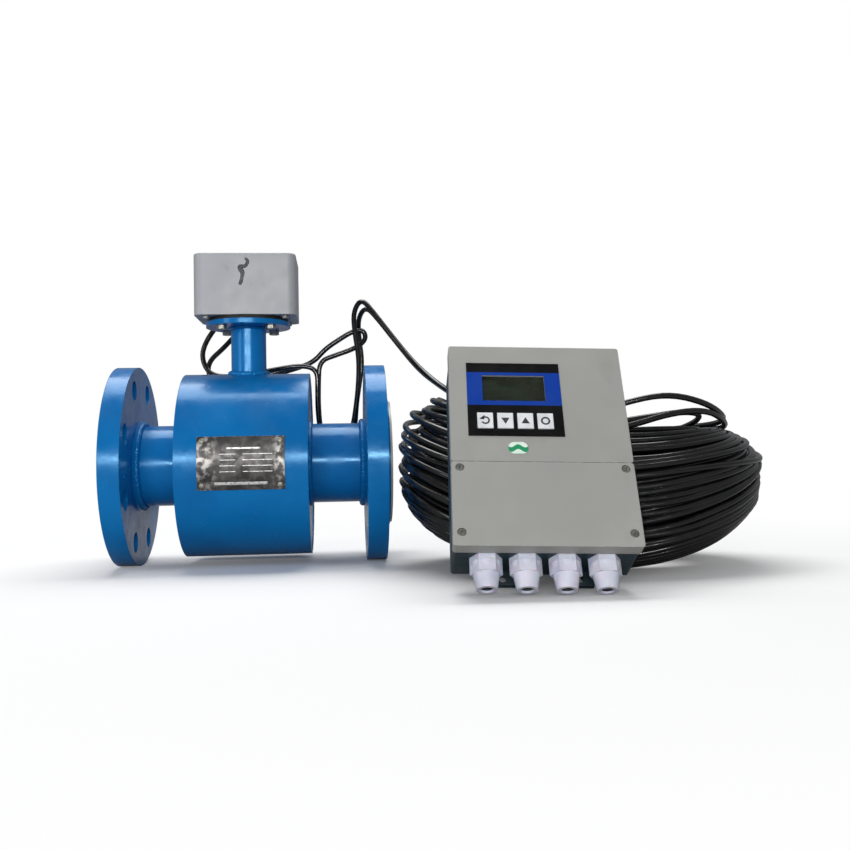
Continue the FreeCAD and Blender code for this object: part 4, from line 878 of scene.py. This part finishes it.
# %% Pen mark on the junction box
# across and up from the middle of the box, and half the line's width, in millimetres
stroke = [(0.6, 22.4, 1.0), (3.4, 21.2, 1.5), (2.6, 17.4, 1.5), (0.4, 15.0, 1.6),
          (-4.6, 15.6, 1.7), (-3.0, 12.2, 2.3), (-1.2, 9.6, 1.9), (-2.2, 5.2, 1.4),
          (-3.0, 1.0, 1.8), (-4.4, -1.2, 1.2)]
FLATTEN, PROUD = 0.15, 0.00004
box_low, box_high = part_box("box_hood")
box_mid = (box_low + box_high) / 2
mark = bpy.data.curves.new("pen_mark", "CURVE")
mark.dimensions = "3D"
mark.bevel_depth, mark.bevel_resolution, mark.resolution_u = 1, 2, 8
line = mark.splines.new("NURBS")
line.points.add(len(stroke) - 1)
for p, (x, z, wide) in zip(line.points, stroke):
    p.co, p.radius = (box_mid.x + x / 1000, 0, box_mid.z + z / 1000, 1), wide / 1000
line.order_u, line.use_endpoint_u = 3, True
pen = bpy.data.objects.new("pen_mark", mark)
pen.location.y, pen.scale.y = box_low.y - PROUD, FLATTEN
bpy.context.scene.collection.objects.link(pen)
mark.materials.append(MATERIALS["ink"])
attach(pen, "meter")
print("pen mark drawn")

# %% [markdown]
# The camera and clear plastics see clean white behind everything, while glossy faces
# mirror only a little of it and other light comes from the lamps. One small group of
# nodes tells those rays apart, for the floor and for the world.

# %% Which rays see white
MIRRORED = 0.08


def put(tree, kind, operation=None, **sockets):
    """A shader node with constants in its named sockets."""
    made = tree.nodes.new("ShaderNode" + kind)
    if operation:
        made.operation = operation
    for key, value in sockets.items():
        made.inputs[key].default_value = value
    return made


def join(tree, *pairs):
    """Link each output to its input."""
    for a, b in pairs:
        tree.links.new(a, b)


def seen_by(tree):
    """1 for camera and see-through rays, part of it for reflections, 0 for other light."""
    rays = put(tree, "LightPath")
    gloss, one, two = (put(tree, "Math", kind) for kind in ("MULTIPLY", "MAXIMUM", "MAXIMUM"))
    gloss.inputs[1].default_value = MIRRORED
    join(tree, (rays.outputs["Is Glossy Ray"], gloss.inputs[0]),
         (rays.outputs["Is Camera Ray"], one.inputs[0]),
         (rays.outputs["Is Transmission Ray"], one.inputs[1]),
         (gloss.outputs[0], two.inputs[0]), (one.outputs[0], two.inputs[1]))
    return two.outputs[0]


print("reflections see", MIRRORED, "of the white")

# %% [markdown]
# The object stands on a plain pale floor. The floor keeps the object's shadow but fades
# to the white of the background further out. To light that bounces it is a darker grey,
# so that it doesn't wash out the undersides.

# %% Floor
FADE_FROM, FADE_TO = 0.1, 0.75
PALE, DIM = 0.94, 0.3
floor_mesh = bpy.data.meshes.new("floor")
floor_mesh.from_pydata([(x, y, cad_low.z) for x, y in ((-6, -4), (7, -4), (7, 9), (-6, 9))],
                       [], [(0, 1, 2, 3)])
floor = bpy.data.objects.new("floor", floor_mesh)
bpy.context.scene.collection.objects.link(floor)
ground = bpy.data.materials.new("pale floor")
ground.use_nodes = True
tree = ground.node_tree
soil, out = tree.nodes["Principled BSDF"], tree.nodes["Material Output"]
soil.inputs["Roughness"].default_value = 0.9
glow = put(tree, "Emission", Color=(1, 1, 1, 1), Strength=1.0)
spot, away = put(tree, "TexCoord"), put(tree, "VectorMath", "DISTANCE")
away.inputs[1].default_value = (0.15, -0.05, cad_low.z)
fade, share = put(tree, "MapRange"), put(tree, "Math", "MULTIPLY")
fade.interpolation_type = "SMOOTHSTEP"
fade.inputs[1].default_value, fade.inputs[2].default_value = FADE_FROM, FADE_TO
shown, pale, blend = seen_by(tree), put(tree, "Mix"), put(tree, "MixShader")
pale.data_type = "RGBA"
for socket, grey in ((6, DIM), (7, PALE)):
    pale.inputs[socket].default_value = (grey, grey, grey, 1)
join(tree, (spot.outputs["Object"], away.inputs[0]), (away.outputs["Value"], fade.inputs[0]),
     (fade.outputs[0], share.inputs[0]), (shown, share.inputs[1]),
     (shown, pale.inputs[0]), (pale.outputs[2], soil.inputs["Base Color"]),
     (share.outputs[0], blend.inputs[0]), (soil.outputs[0], blend.inputs[1]),
     (glow.outputs[0], blend.inputs[2]), (blend.outputs[0], out.inputs["Surface"]))
floor_mesh.materials.append(ground)
print("floor at", round(cad_low.z, 4))

# %% [markdown]
# Soft studio light: a long low strip in front, which draws a bright line along every
# pipe and cable, a wide panel above and a little behind, and a weak one at the left.

# %% Lights
def light(name, place, target, size, watts):
    """A soft rectangular panel that faces a point."""
    lamp = bpy.data.lights.new(name, "AREA")
    lamp.shape, lamp.size, lamp.size_y, lamp.energy = "RECTANGLE", size[0], size[1], watts
    obj = bpy.data.objects.new(name, lamp)
    obj.location = place
    obj.rotation_euler = (Vector(place) - Vector(target)).to_track_quat("Z", "Y").to_euler()
    bpy.context.scene.collection.objects.link(obj)


light("front strip", (-0.1, -2.2, 0.32), (0.1, 0, 0), (1.5, 0.12), 29)
light("top panel", (0.1, 0.35, 1.3), (0.12, 0, 0), (1.4, 0.8), 20)
light("left panel", (-1.3, -0.9, 0.5), (0, 0, 0), (0.4, 1.0), 5)
print("three light panels")

# %% [markdown]
# The room round the stage is dim and plain; where the rays above see white, it is white.

# %% Background
ROOM_TONE, ROOM_LEVEL = (0.92, 0.96, 1, 1), 0.2
world = bpy.data.worlds.new("world")
bpy.context.scene.world = world
world.use_nodes = True
tree = world.node_tree
room, choose = tree.nodes["Background"], put(tree, "MixShader")
room.inputs["Color"].default_value = ROOM_TONE
room.inputs["Strength"].default_value = ROOM_LEVEL
white = put(tree, "Background", Color=(1, 1, 1, 1), Strength=1.0)
join(tree, (seen_by(tree), choose.inputs[0]), (room.outputs[0], choose.inputs[1]),
     (white.outputs[0], choose.inputs[2]),
     (choose.outputs[0], tree.nodes["World Output"].inputs["Surface"]))
bpy.context.scene.view_settings.view_transform = "Standard"
print("white background, room at", ROOM_LEVEL)
